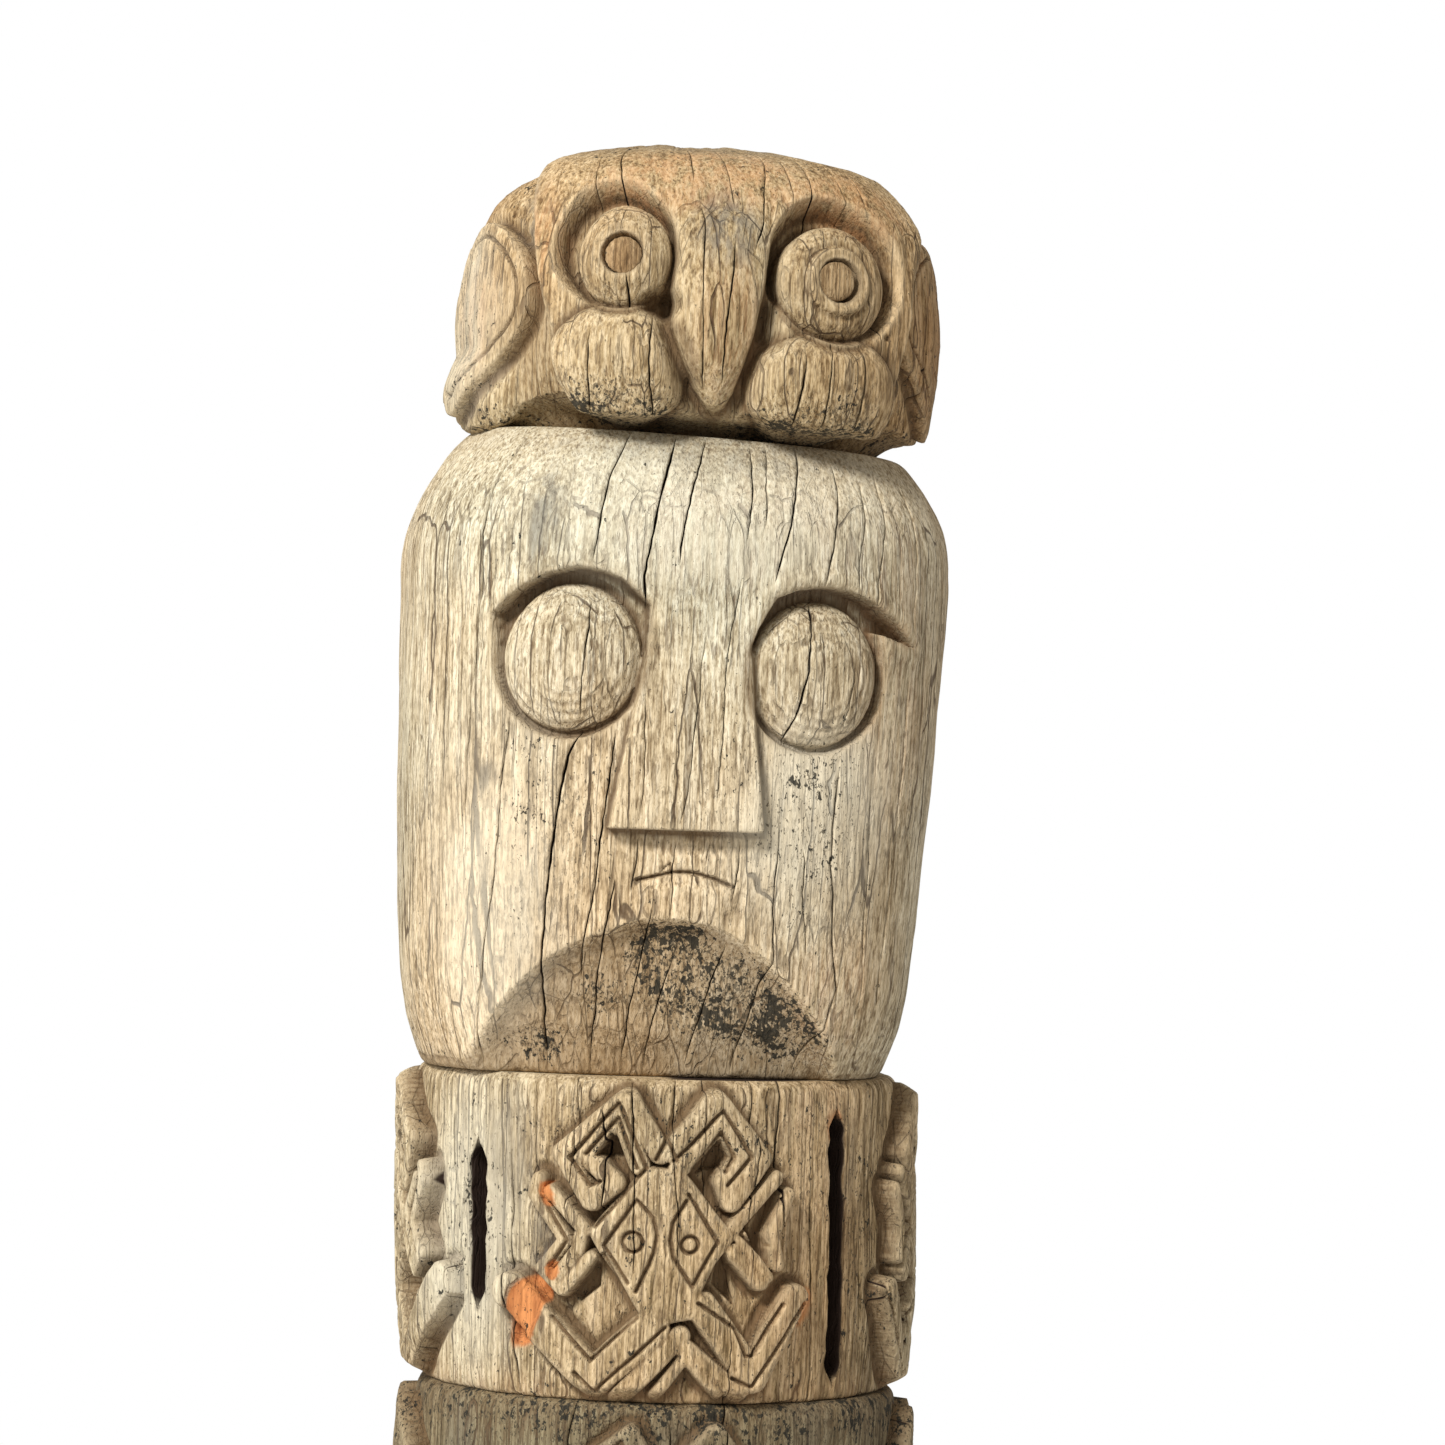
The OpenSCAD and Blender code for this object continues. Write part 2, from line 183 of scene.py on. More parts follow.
def drying_cracks(seed, start, stop, height, gap=23.0, deepest=4.0):
    """Cracks of no special shape, from u = start to u = stop."""
    rng = np.random.default_rng(seed)
    count = max(1, int(abs(stop - start) / gap))
    made = []
    for i in range(count):
        u = start + (stop - start) * (i + 0.5 + rng.uniform(-0.3, 0.3)) / count
        levels = np.linspace(0, height, 6)
        knots = [(h, u + rng.uniform(-2.5, 2.5)) for h in levels]
        low = rng.uniform(-0.15, 0.6) * height
        high = low + rng.uniform(0.3, 0.9) * height
        strength = rng.uniform(0.25, 1) ** 1.6
        made.append(Crack(knots, [(low, high, 1.2 + deepest * strength, 0.45 + 0.75 * strength)]))
    return made


class Block:
    """A closed wooden block round one CAD node, with a relief and drying cracks.

    sizes are half the width, half the depth and the power of its squarish outline. profile holds
    (height, half width) from the bottom rim to the top rim. level_ends are the heights over which
    the relief turns level at each end. lean and drift hold (height, slope) and (height, sideways).
    Rows are step apart, and so are columns within front of the middle. Other columns are back_step
    apart. top_share is the share of the map for the ends, and skirt is how far the sides hang down.
    """

    def __init__(self, node, sizes, profile, relief, cracks, step=0.9, back_step=2.1, front=150.0,
                 seed=1, rough=1.0, top_share=0.17, level_ends=(0, 0), lean=None, drift=None, skirt=0.0):
        self.node, self.seed, self.height = node, seed, profile[-1][0]
        self.half_w, half_d, power = sizes
        self.level_ends, self.lean, self.drift, self.skirt = level_ends, lean, drift, skirt
        phi = np.linspace(-math.pi, math.pi, 7201)
        spans = np.abs(np.sin(phi) / self.half_w) ** power + np.abs(np.cos(phi) / half_d) ** power
        r = spans ** (-1 / power)
        self.ring = np.stack([r * np.sin(phi), -r * np.cos(phi)], 1)
        arc = np.concatenate([[0], np.cumsum(np.hypot(*np.diff(self.ring, axis=0).T))])
        self.arc = arc - arc[len(arc) // 2]
        self.length = arc[-1]
        self.profile = [(z, w / self.half_w) for z, w in profile]
        self.relief, self.cracks, self.rough = relief, cracks, rough
        self.step = step * 1
        self.back_step = back_step * 1
        self.front, self.top_share = front, top_share

    def wrap(self, u):
        """The same place round the outline, between half a length to the left and to the right."""
        return (u + self.length / 2) % self.length - self.length / 2

    def side_rows(self):
        """Heights, scales and lengths along the profile of the rows from the bottom rim to the top."""
        z, scale = np.array(self.profile, float).T
        dense_z = np.interp(np.linspace(0, 1, 4001), np.linspace(0, 1, len(z)), z)
        dense_s = np.interp(dense_z, z, scale)
        run = np.concatenate([[0], np.cumsum(np.hypot(np.diff(dense_z), np.diff(dense_s) * self.half_w))])
        at = np.linspace(0, run[-1], int(run[-1] / self.step))
        padded = np.pad(np.interp(at, run, dense_s), 4, mode="reflect", reflect_type="odd")
        return np.interp(at, run, dense_z), np.convolve(padded, np.ones(9) / 9, "valid"), at

    def columns(self, z):
        """Places of the columns at each row, and how deep the cracks cut them."""
        placed = []
        for k, crack in enumerate(self.cracks):
            placed.append([*crack.place(z, self.seed * 1000 + 10 * k), crack.profile])
        placed.sort(key=lambda p: p[0].mean())
        for before, after in zip(placed, placed[1:]):
            after[0] = np.maximum(after[0], before[0] + before[2] + after[2] + 0.6)
        first = placed[0]
        following = placed[1:] + [[first[0] + self.length, *first[1:]]]
        us, depths = [], []
        for (u, depth, width, profile), (next_u, _, next_w, _) in zip(placed, following):
            for offset, share in profile:
                us.append(u + offset * width)
                depths.append(depth * share)
            start, stop = u + width, next_u - next_w
            middle = self.wrap((start + stop).mean() / 2)
            step = self.step if abs(middle) < self.front else self.back_step
            count = max(1, int(round((stop - start).mean() / step)))
            for i in range(1, count):
                us.append(start + (stop - start) * i / count)
                depths.append(np.zeros_like(z))
        return np.array(us).T, np.array(depths).T

    def grain(self, u, v):
        """Undulation, adze facets and open grain of weathered wood."""
        def wave(cell_u, cell_v, k):
            return noise(u, v, cell_u, cell_v, self.length, self.seed * 77 + k)

        h = 0.9 * wave(46, 60, 0) + 0.45 * wave(17, 26, 1)
        h += 0.22 * wave(6, 13, 2)
        h -= 0.42 * smooth(wave(2.7, 55, 3), 0.15, 0.9)
        h -= 0.3 * smooth(wave(4.5, 24, 4), 0.3, 0.95)
        h -= 0.7 * smooth(wave(7, 9, 5), 0.72, 0.97)
        return h * self.rough

    def build(self, slot, shift=0.0):
        """Makes the piece, moved sideways by shift."""
        z, scale, run = self.side_rows()
        u, cut = self.columns(z)
        zz = np.repeat(z[:, None], u.shape[1], 1)
        vv = np.repeat(run[:, None], u.shape[1], 1)
        wrapped = self.wrap(u)
        h, masks = self.relief(wrapped, zz)
        h = h + self.grain(wrapped, vv)
        x, y = (np.interp(wrapped, self.arc, self.ring[:, k]) for k in (0, 1))
        base = np.stack([x * scale[:, None], y * scale[:, None], zz], 2)
        du = np.roll(base, -1, 1) - np.roll(base, 1, 1)
        normal = np.cross(du, np.gradient(base, axis=0))
        normal /= np.linalg.norm(normal, axis=2, keepdims=True)
        masks["level"] = smooth(np.abs(normal[:, :, 2]), 0.3, 0.62)
        bottom, top = self.level_ends
        normal[:, :, 2] *= smooth(zz, 0, bottom)
        if top:
            normal[:, :, 2] *= smooth(self.height - zz, 0, top)
        narrow = spread(h, NARROW_STEPS)
        broad = spread(narrow, BROAD_STEPS - NARROW_STEPS)
        # crack insides are painted dark: painted shade, with the dirt in them
        masks["crack"] = unit(cut / 2.2)
        # cavity: painted shade, with some dirt, wherever the surface lies below its blurred self, in hollows
        # and creases; the reliefs' deep masks add more
        cavity_shade_and_dirt = unit((broad - h) / 3.5) + 0.5 * unit((narrow - h) / 0.6)
        masks["cavity_shade_and_dirt"] = unit(cavity_shade_and_dirt + masks.pop("deep", 0))
        masks["edge"] = unit(unit((h - broad) / 3.0) + 0.35 * unit((h - narrow) / 0.5))
        # the rims are rounded off, and the relief doesn't pass the ends
        rim = unit(np.minimum(zz, self.height - zz) / 2.2)
        point = base + normal * (h - cut)[:, :, None] - normal * (1.2 * (1 - rim) ** 2)[:, :, None]
        x, y, height = np.moveaxis(point, 2, 0)
        height[:] = np.clip(height, 0.15, self.height - 0.15 if top else None)
        beside = smooth(np.abs(x), 60, 100) * smooth(np.hypot(x, y), 102, 118)
        height -= self.skirt * beside * (1 - smooth(zz, 0, 45))
        if self.drift:
            x += along(self.drift, zz)
        if self.lean:
            height -= along(self.lean, zz) * x
        self.mesh(point, wrapped, masks, slot, shift)

    def mesh(self, point, u, masks, slot, shift):
        """Makes the piece: its side as a grid, and each end as rings that shrink to one point."""
        rows, cols = point.shape[:2]
        ids = np.arange(rows * cols).reshape(rows, cols)
        nxt = np.roll(np.arange(cols), -1)
        start = rows * cols
        vertices = [point.reshape(-1, 3)]
        bands, fans = list(zip(ids, ids[1:])), []
        for rim, before, is_top in ((point[0], ids[0], False), (point[-1], ids[-1], True)):
            middle = np.array([rim[:, 0].mean(), rim[:, 1].mean(), np.median(rim[:, 2])])
            for share in CAP_RINGS:
                ring = middle + (rim - middle) * share
                ring[:, 2] = middle[2] + (rim[:, 2] - middle[2]) * share ** 4
                vertices.append(ring)
                now = start + np.arange(cols)
                start += cols
                bands.append((before, now) if is_top else (now, before))
                before = now
            vertices.append(middle[None])
            pair = (before, before[nxt]) if is_top else (before[nxt], before)
            fans.append(np.stack([*pair, np.full(cols, start)], 1))
            start += 1
        quads = np.concatenate([np.stack([low, low[nxt], high[nxt], high], 1) for low, high in bands])
        loops = np.concatenate([quads.ravel()] + [fan.ravel() for fan in fans])
        sizes = np.repeat([4, 3], [len(quads), 2 * cols])
        cap = len(CAP_RINGS) * cols
        kinds = np.repeat([0, 1, 2, 1, 2], [(rows - 1) * cols, cap, cap, cols, cols])
        values = {}
        for name in MASKS:
            side = masks.get(name, np.zeros((rows, cols)))
            ends = [[*np.tile(rim, len(CAP_RINGS)), rim.mean()] for rim in (side[0], side[-1])]
            values[name] = np.concatenate([side.ravel()] + ends)
        co = np.concatenate(vertices)
        uv = self.unwrap(co, loops, np.repeat(kinds, sizes), u)
        co = (co + np.array([shift, 0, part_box(self.node)[0].z / MM])) * MM
        obj = new_object(self.node + "_wood", co, loops, sizes, uv, values)
        finish_piece(obj, slot, self.node)

    def unwrap(self, co, loops, kinds, u):
        """The front half in one strip, the back half in another, and the two ends as discs."""
        rows, cols = u.shape
        side = kinds == 0
        corners = loops[side].reshape(-1, 4)
        near = u.ravel()[corners]
        near = near[:, :1] + self.wrap(near - near[:, :1])
        middle = near.mean(axis=1, keepdims=True)
        turn = np.round(middle / self.length) * self.length
        near, middle = near - turn, middle - turn
        quarter = self.length / 4
        is_front = np.abs(middle) < quarter
        start = np.where(is_front, -quarter, quarter)
        place = near + self.length * (~is_front & (middle < 0)) - start
        run = np.repeat(np.linspace(0, 1, rows), cols)[corners]
        top = 1 - self.top_share
        split = top * FRONT_SHARE
        strip = np.where(is_front, split, top - split)
        uv = np.zeros((len(loops), 2))
        uv[side, 0] = (MARGIN + (1 - 2 * MARGIN) * place / (2 * quarter)).ravel()
        uv[side, 1] = (np.where(is_front, 0, split) + MARGIN / 2 + run * (strip - MARGIN)).ravel()
        size = (self.top_share - CAP_GAP) / (np.abs(co[:, :2]).max() + 1) / 2
        for k, centre in ((1, 0.2), (2, 0.7)):
            uv[kinds == k] = (centre, top + self.top_share / 2) + co[loops[kinds == k], :2] * size
        return np.clip(uv, 0.001, 0.999)


def spread(field, steps):
    """The field blurred over a block's grid, in small steps."""
    for _ in range(steps):
        wide = (np.roll(field, 1, 1) + np.roll(field, -1, 1) + 2 * field) / 4
        tall = np.pad(wide, ((1, 1), (0, 0)), mode="edge")
        field = (tall[:-2] + tall[2:] + 2 * wide) / 4
    return field


def new_object(name, co, loops, sizes, uv, values):
    """A smooth mesh object with a UV map and one number per vertex for each mask."""
    mesh = bpy.data.meshes.new(name)
    mesh.vertices.add(len(co))
    mesh.vertices.foreach_set("co", co.astype(np.float32).ravel())
    mesh.loops.add(len(loops))
    mesh.loops.foreach_set("vertex_index", loops.astype(np.int32))
    mesh.polygons.add(len(sizes))
    starts = np.concatenate([[0], np.cumsum(sizes)[:-1]]).astype(np.int32)
    mesh.polygons.foreach_set("loop_start", starts)
    layer = mesh.uv_layers.new(name="OFBake")
    layer.data.foreach_set("uv", uv.astype(np.float32).ravel())
    for mask, numbers in values.items():
        attribute = mesh.attributes.new(mask, "FLOAT", "POINT")
        attribute.data.foreach_set("value", numbers.astype(np.float32))
    mesh.update(calc_edges=True)
    mesh.validate()
    mesh.polygons.foreach_set("use_smooth", np.ones(len(mesh.polygons), bool))
    obj = bpy.data.objects.new(name, mesh)
    bpy.context.scene.collection.objects.link(obj)
    return obj


def finish_piece(obj, slot, node):
    """Gives the piece its wood, thins a heavy mesh, and ties the piece to the frame."""
    obj.data.materials.append(wood[slot])
    triangles = sum(len(p.vertices) - 2 for p in obj.data.polygons)
    if triangles > TRIANGLES:
        thin = obj.modifiers.new("thin", "DECIMATE")
        thin.ratio = TRIANGLES / triangles
        graph = bpy.context.evaluated_depsgraph_get()
        mesh = bpy.data.meshes.new_from_object(obj.evaluated_get(graph))
        obj.modifiers.clear()
        obj.data = mesh
    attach(obj, "root")
    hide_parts(node)


# ---------------------------------------------------------------- materials

def colour(r, g, b):
    """A screen colour from 0 to 255 as a linear one."""
    shares = [c / 255 for c in (r, g, b)]
    return (*(c / 12.92 if c < 0.0404 else ((c + 0.055) / 1.055) ** 2.4 for c in shares), 1)


class Graph:
    """Short ways to add shader nodes and join them."""

    def __init__(self, name):
        self.material = bpy.data.materials.new(name)
        self.material.use_nodes = True
        self.tree = self.material.node_tree
        self.tree.nodes.clear()

    def put(self, socket, value):
        if isinstance(value, bpy.types.NodeSocket):
            self.tree.links.new(value, socket)
        else:
            socket.default_value = value

    def node(self, kind, inputs=(), **settings):
        made = self.tree.nodes.new(kind)
        for key, value in settings.items():
            setattr(made, key, value)
        for key, value in dict(inputs).items():
            self.put(made.inputs[key], value)
        return made

    def math(self, operation, a, b):
        return self.node("ShaderNodeMath", {0: a, 1: b, 2: 0.0}, operation=operation).outputs[0]

    def times(self, a, b):
        return self.math("MULTIPLY", a, b)

    def plus(self, a, b):
        return self.math("ADD", a, b)

    def minus(self, a, b):
        return self.math("SUBTRACT", a, b)

    def tint(self, under, factor, strength, over):
        """One colour laid over another, where factor is high."""
        return self.mix(self.times(factor, strength), under, over)

    def map(self, value, low, high, to_low=0.0, to_high=1.0):
        made = self.node("ShaderNodeMapRange", {
            "Value": value, "From Min": low, "From Max": high, "To Min": to_low, "To Max": to_high,
        }, interpolation_type="SMOOTHSTEP")
        return made.outputs["Result"]

    def mix(self, factor, a, b, blend="MIX"):
        made = self.node("ShaderNodeMix", {0: factor, 6: a, 7: b}, data_type="RGBA", blend_type=blend)
        return made.outputs[2]

    def mask(self, name):
        return self.node("ShaderNodeAttribute", attribute_name=name).outputs["Fac"]

    def noise(self, vector, scale, detail, roughness):
        made = self.node("ShaderNodeTexNoise", {
            "Vector": vector, "Scale": scale, "Detail": detail, "Roughness": roughness,
        })
        return made.outputs["Fac"]

    def ramp(self, factor, stops):
        made = self.node("ShaderNodeValToRGB", {"Fac": factor})
        while len(made.color_ramp.elements) < len(stops):
            made.color_ramp.elements.new(0.5)
        for element, (at, tint) in zip(made.color_ramp.elements, stops):
            element.position = at
            element.color = colour(*tint)
        return made.outputs["Color"]


def weathered_wood(name, dark, mid, light, offset, stain, fine_cracks):
    """Sun-bleached wood with upright grain that runs on in depth. offset is its place in the grain."""
    g = Graph(name)
    where = g.node("ShaderNodeTexCoord").outputs["Object"]

    def stretched(upright, extra=0.0, vector=where):
        place = (offset[0] + extra, offset[1], offset[2])
        return g.node("ShaderNodeMapping", {
            "Vector": vector, "Location": place, "Scale": (1, 1, upright),
        }).outputs["Vector"]

    def cloud(upright, extra, scale, detail, roughness):
        return g.noise(stretched(upright, extra), scale, detail, roughness)

    fibre = cloud(0.045, 0.0, 640, 3, 0.7)
    streak = cloud(0.06, 3.1, 170, 4, 0.65)
    patch = cloud(0.55, 7.7, 17, 5, 0.65)
    broad = cloud(0.6, 11.3, 4.5, 3, 0.5)
    grit = cloud(0.32, 13.1, 620, 3, 0.7)
    tone = g.plus(g.times(streak, 0.26), g.times(fibre, 0.46))
    tone = g.plus(tone, g.times(patch, 0.28))
    tint = g.ramp(tone, ((0.395, dark), (0.475, mid), (0.565, light)))
    hue = g.ramp(broad, ((0.36, (255, 232, 206)), (0.5, (255, 250, 242)), (0.64, (236, 242, 242))))
    tint = g.mix(0.8, tint, hue, "MULTIPLY")
    shade = g.ramp(grit, ((0.36, (186, 178, 168)), (0.52, (248, 246, 242)), (0.66, (255, 255, 255))))
    tint = g.mix(0.9, tint, shade, "MULTIPLY")
    # Hair cracks follow the borders of tall cells, broken up along their length
    bend = g.node("ShaderNodeVectorMath", {0: where, 1: g.node("ShaderNodeCombineXYZ", {
        "X": g.times(cloud(0.6, 5.3, 70, 2, 0.6), 0.0035),
        "Y": g.times(cloud(0.6, 9.3, 70, 2, 0.6), 0.0035),
    }).outputs["Vector"]}, operation="ADD").outputs["Vector"]

    def cells(scale, upright, thin, seed):
        place = stretched(upright, seed, bend)
        made = g.node("ShaderNodeTexVoronoi", {"Vector": place, "Scale": scale}, feature="DISTANCE_TO_EDGE")
        return g.map(made.outputs["Distance"], thin * 0.3, thin, 1.0, 0.0)

    broken = g.map(cloud(0.13, 23.0, 60, 2, 0.5), 0.43, 0.51)
    finer = g.map(cloud(0.15, 27.0, 80, 2, 0.5), 0.45, 0.53)
    fine = g.times(g.times(cells(170, 0.018, 0.045, 4.0), finer), 0.55)
    hair = g.math("MAXIMUM", g.times(cells(60, 0.016, 0.02, 2.0), broken), fine)
    upright_only = g.minus(1.0, g.mask("level"))
    hair = g.times(g.times(hair, fine_cracks), upright_only)
    tint = g.tint(tint, hair, 0.8, colour(62, 42, 28))
    # Pores and small dark dots
    pores = g.map(cloud(0.09, 29.0, 640, 2, 0.55), 0.57, 0.68)
    tint = g.tint(tint, pores, 0.55, colour(96, 74, 50))
    dirt_patch = g.map(cloud(0.5, 31.0, 26, 4, 0.65), 0.48, 0.66)
    dots = g.times(g.map(cloud(0.5, 17.9, 520, 2, 0.6), 0.555, 0.62), dirt_patch)
    tint = g.mix(g.times(dots, stain), tint, colour(66, 58, 48))
    # Painted shade with some dirt in hollows and creases, lighter ridges, and what time has left in each
    # place
    cavity_shade_and_dirt, edge = g.mask("cavity_shade_and_dirt"), g.mask("edge")
    tint = g.tint(tint, cavity_shade_and_dirt, 0.82, colour(76, 55, 35))
    tint = g.tint(tint, edge, 0.3, colour(226, 206, 170))
    # stain also carries the painted shade of the reliefs' creases and hollows, besides real stains
    stained = g.times(g.mask("stain"), g.map(patch, 0.3, 0.62, 0.55, 1.0))
    tint = g.tint(tint, stained, 0.62, colour(127, 103, 73))
    warm = g.times(g.mask("warm"), g.map(streak, 0.36, 0.6))
    tint = g.tint(tint, warm, 0.4, colour(190, 136, 88))
    bleach = g.times(g.mask("bleach"), g.map(patch, 0.35, 0.6, 0.4, 1.0))
    tint = g.tint(tint, bleach, 0.6, colour(226, 220, 200))
    grey = g.times(g.mask("grey"), g.map(streak, 0.34, 0.56))
    tint = g.tint(tint, grey, 0.62, colour(96, 92, 86))
    cut_grain = g.ramp(streak, ((0.35, (142, 80, 42)), (0.62, (214, 142, 86))))
    tint = g.mix(g.mask("fresh"), tint, cut_grain)
    mould = g.mask("mould")
    level = g.minus(0.75, g.times(mould, 0.22))
    clump = g.times(g.minus(cloud(0.8, 43.0, 75, 3, 0.6), 0.5), 0.62)
    spots = g.plus(cloud(0.7, 41.0, 390, 3, 0.65), clump)
    black = g.map(g.minus(spots, level), -0.02, 0.03)
    tint = g.tint(tint, black, 0.93, colour(34, 34, 29))
    specks = cloud(0.6, 47.0, 760, 2, 0.6)
    limit = g.minus(0.70, g.times(mould, 0.17))
    dark_speck = g.map(g.minus(specks, limit), 0.0, 0.03)
    tint = g.tint(tint, dark_speck, 0.75, colour(70, 62, 48))
    crack = g.mask("crack")
    # Crack and slot insides painted dark brown: painted shade, with the dirt in them
    tint = g.mix(g.map(crack, 0.08, 0.75), tint, colour(38, 24, 15))
    height = g.plus(g.times(fibre, 0.5), g.times(streak, 0.6))
    height = g.plus(height, g.times(grit, 0.55))
    for pit, share in ((hair, 0.8), (pores, 0.25), (dots, 0.2)):
        height = g.minus(height, g.times(pit, share))
    bump = g.node("ShaderNodeBump", {"Strength": 0.8, "Distance": 0.0014, "Height": height})
    rough = g.map(tone, 0.3, 0.65, 0.93, 0.76)
    shader = g.node("ShaderNodeBsdfPrincipled", {
        "Base Color": tint, "Roughness": rough, "Normal": bump.outputs["Normal"],
        "Specular IOR Level": 0.25,
    })
    g.node("ShaderNodeOutputMaterial", {"Surface": shader.outputs["BSDF"]})
    return g.material


# ---------------------------------------------------------------- the face

FACE_SIZES = (135, 128, 2.6)
FACE_ROUND = 900
FACE_H = 308
FACE_PROFILE = [(0, 113), (3, 114.5), (13, 118.3), (23, 121.8), (33, 124), (43, 125.8), (63, 127.7),
                (83, 129), (113, 130.5), (143, 132.5), (163, 133.2), (203, 134.3), (243, 135.5),
                (258, 134.6), (266, 133), (274, 130.6), (283, 126.2), (293, 120), (300, 114.8),
                (305, 110.4), (308, 107)]
# The middle and radius of each eye, and the line of its brow
EYES = (
    (-59.7, 198.5, 35.8, [(-99.9, 219), (-92, 226), (-83.8, 231.9), (-71, 238), (-56.7, 241.4),
                          (-45, 240), (-35.2, 236.8), (-21.6, 225)]),
    (62.8, 194.3, 35.6, [(121, 210), (107, 221), (89.2, 231.2), (77, 235.5), (63.8, 237), (50, 235),
                         (39, 230.2), (30.9, 215.6)]),
)
NOSE = [(-35.4, 118.9), (-29, 160), (-20.9, 205), (-18, 226), (24, 226), (26.9, 207), (32, 160),
        (38.2, 118.9)]
CHIN = [(-125, 5), (-105.9, 19.1), (-88, 37), (-68.8, 54.1), (-54, 62.5), (-40.7, 68.3), (-18.4, 76.2),
        (0, 76.6), (19.4, 73.5), (34, 67), (48.7, 57.6), (70, 38), (91.5, 17.1), (104, 3)]
MOUTH = [(-21.4, 94.1), (-12, 96.4), (-4, 98.4), (3.2, 98.7), (10, 97.8), (18, 95.6), (26.5, 92.3)]


def face_relief(u, z):
    def wave(cell_u, cell_v, seed):
        return noise(u, z, cell_u, cell_v, FACE_ROUND, seed)

    shade_and_dirt, aged = np.zeros_like(u), np.zeros_like(u)
    # soft planes of the cheeks and the brow
    h = blobs(u, z, (1.6, -72, 110, 40, 60), (1.6, 74, 108, 40, 60), (2.2, 2, 252, 95, 32))
    for cu, cz, r, brow in EYES:
        d = np.hypot(u - cu, z - cz)
        side = -1 if cu < 0 else 1
        ring = [(cu + (r + 2.8) * math.sin(t), cz - (r + 2.8) * math.cos(t))
                for t in np.linspace(math.radians(96), math.radians(-96), 15) * (-side)]
        tail = [(cu + r - 1, cz + 21)] if side > 0 else []
        gap = inside(u, z, brow + ring + tail)
        level = along([(cz - r - 2, 7.0), (cz - 10, 8.0), (cz + 14, 10.5), (cz + 30, 13)], z)
        socket = -level * smooth(gap, -0.3, 1.3)
        lip = 1.5 * bell(gap, -4.5, 4.5) * smooth(z, cz - 4, cz + 22)
        e = d / r
        high = unit((z - cz) / r)
        across = np.clip((u - cu) * side / r, -1, 1)
        swell = np.sqrt(unit(1 - 0.98 * np.clip(e, 0, 1) ** 2.5))
        dome = -9.5 + 14.5 * swell - 4.5 * high ** 1.7 + 0.8 * across
        aged = np.maximum(aged, 0.45 * unit(np.sin(d * 1.5 + wave(22, 22, 33))) * (d < r - 1))
        rings = 0.4 * np.sin(d * 1.35 + 1.5 * wave(22, 22, 31)) * smooth(e, 0.25, 0.6)
        dome += rings * (0.5 + 0.5 * wave(14, 14, 32))
        disc = 1 - smooth(d, r - 1.1, r + 0.5)
        h = np.where(d < r + 4, np.maximum(socket, (dome + level) * disc - level), h + socket)
        h += lip * (gap < 0)
        # painted shade: a dark ring in the groove round the eye, and under the brow along the top of its gap
        shade_and_dirt = np.maximum(shade_and_dirt, 0.75 * bell(d - r, 1.4, 2.6))
        shade_and_dirt = np.maximum(shade_and_dirt, 0.8 * bell(gap, 1.5, 2.6) * smooth(z, cz - 4, cz + 16))
    # the nose, flush at the bridge and proud at its sharp bottom edge
    gap = inside(u, z, NOSE)
    rise = along([(119, 9.5), (150, 7.0), (180, 4.0), (206, 1.2), (226, 0)], z)
    side_wall = smooth(gap, -2.3, 0.6)
    under = z < 118.9
    bridge = np.where(z > 200, smooth(226 - z, 0, 26), 1)
    nose = rise * np.where(under, smooth(gap, -0.5, 0.4), side_wall) * bridge
    keep = smooth(gap, -4, 0)
    h = h * (1 - keep * bridge) + nose
    h -= 1.2 * blob(u, z, 1, 113, 40, 9) * (z < 118.9)
    # painted shadow: a dark line under the nose's bottom edge, and painted shade beside its sides, stronger
    # on the right side, away from the key light
    shade_and_dirt = np.maximum(shade_and_dirt, bell(z, 116.8, 2.0) * smooth(gap, -4.5, -2.5))
    beside = bell(gap, -1.6, 1.3) * smooth(z, 117, 121) * (1 - smooth(z, 190, 226))
    shade_and_dirt = np.maximum(shade_and_dirt, beside * np.where(u > 0, 0.95, 0.4))
    # the mouth, with the lip that swells below it
    lip_gap = distance(u, z, MOUTH)
    h += 2.2 * blob(u, z, 1, 86, 34, 17) * smooth(96 - z - 0.006 * (u - 2) ** 2, -1, 7)
    h += groove(lip_gap, 1.5, 2.6)
    h += groove(distance(u, z, [(-9, 99.4), (-5.2, 102.6), (-4.4, 98.6)]), 1.1, 1.6)
    shade_and_dirt = np.maximum(shade_and_dirt, 0.9 * bell(lip_gap, 0, 0.9))
    # the chin falls back below its ridge, in short level gouge cuts
    drop = distance(u, z, CHIN) * (z < along(CHIN, u))
    back = 9.6 * (1 - np.exp(-drop / 9.5)) + 0.075 * drop
    back *= smooth(-np.abs(u), -118, -92)
    cuts = np.abs(np.sin(z / 6.2 + 0.9 * wave(24, 30, 41)))
    back += 1.4 * cuts * (0.6 + 0.4 * wave(20, 8, 42)) * smooth(drop, 2, 12)
    h -= back
    h += 1.1 * bell(distance(u, z, CHIN), 0, 5.0)
    h -= 1.7 * unit(wave(3.4, 26, 43)) * blob(u, z, 38, 74, 28, 22)
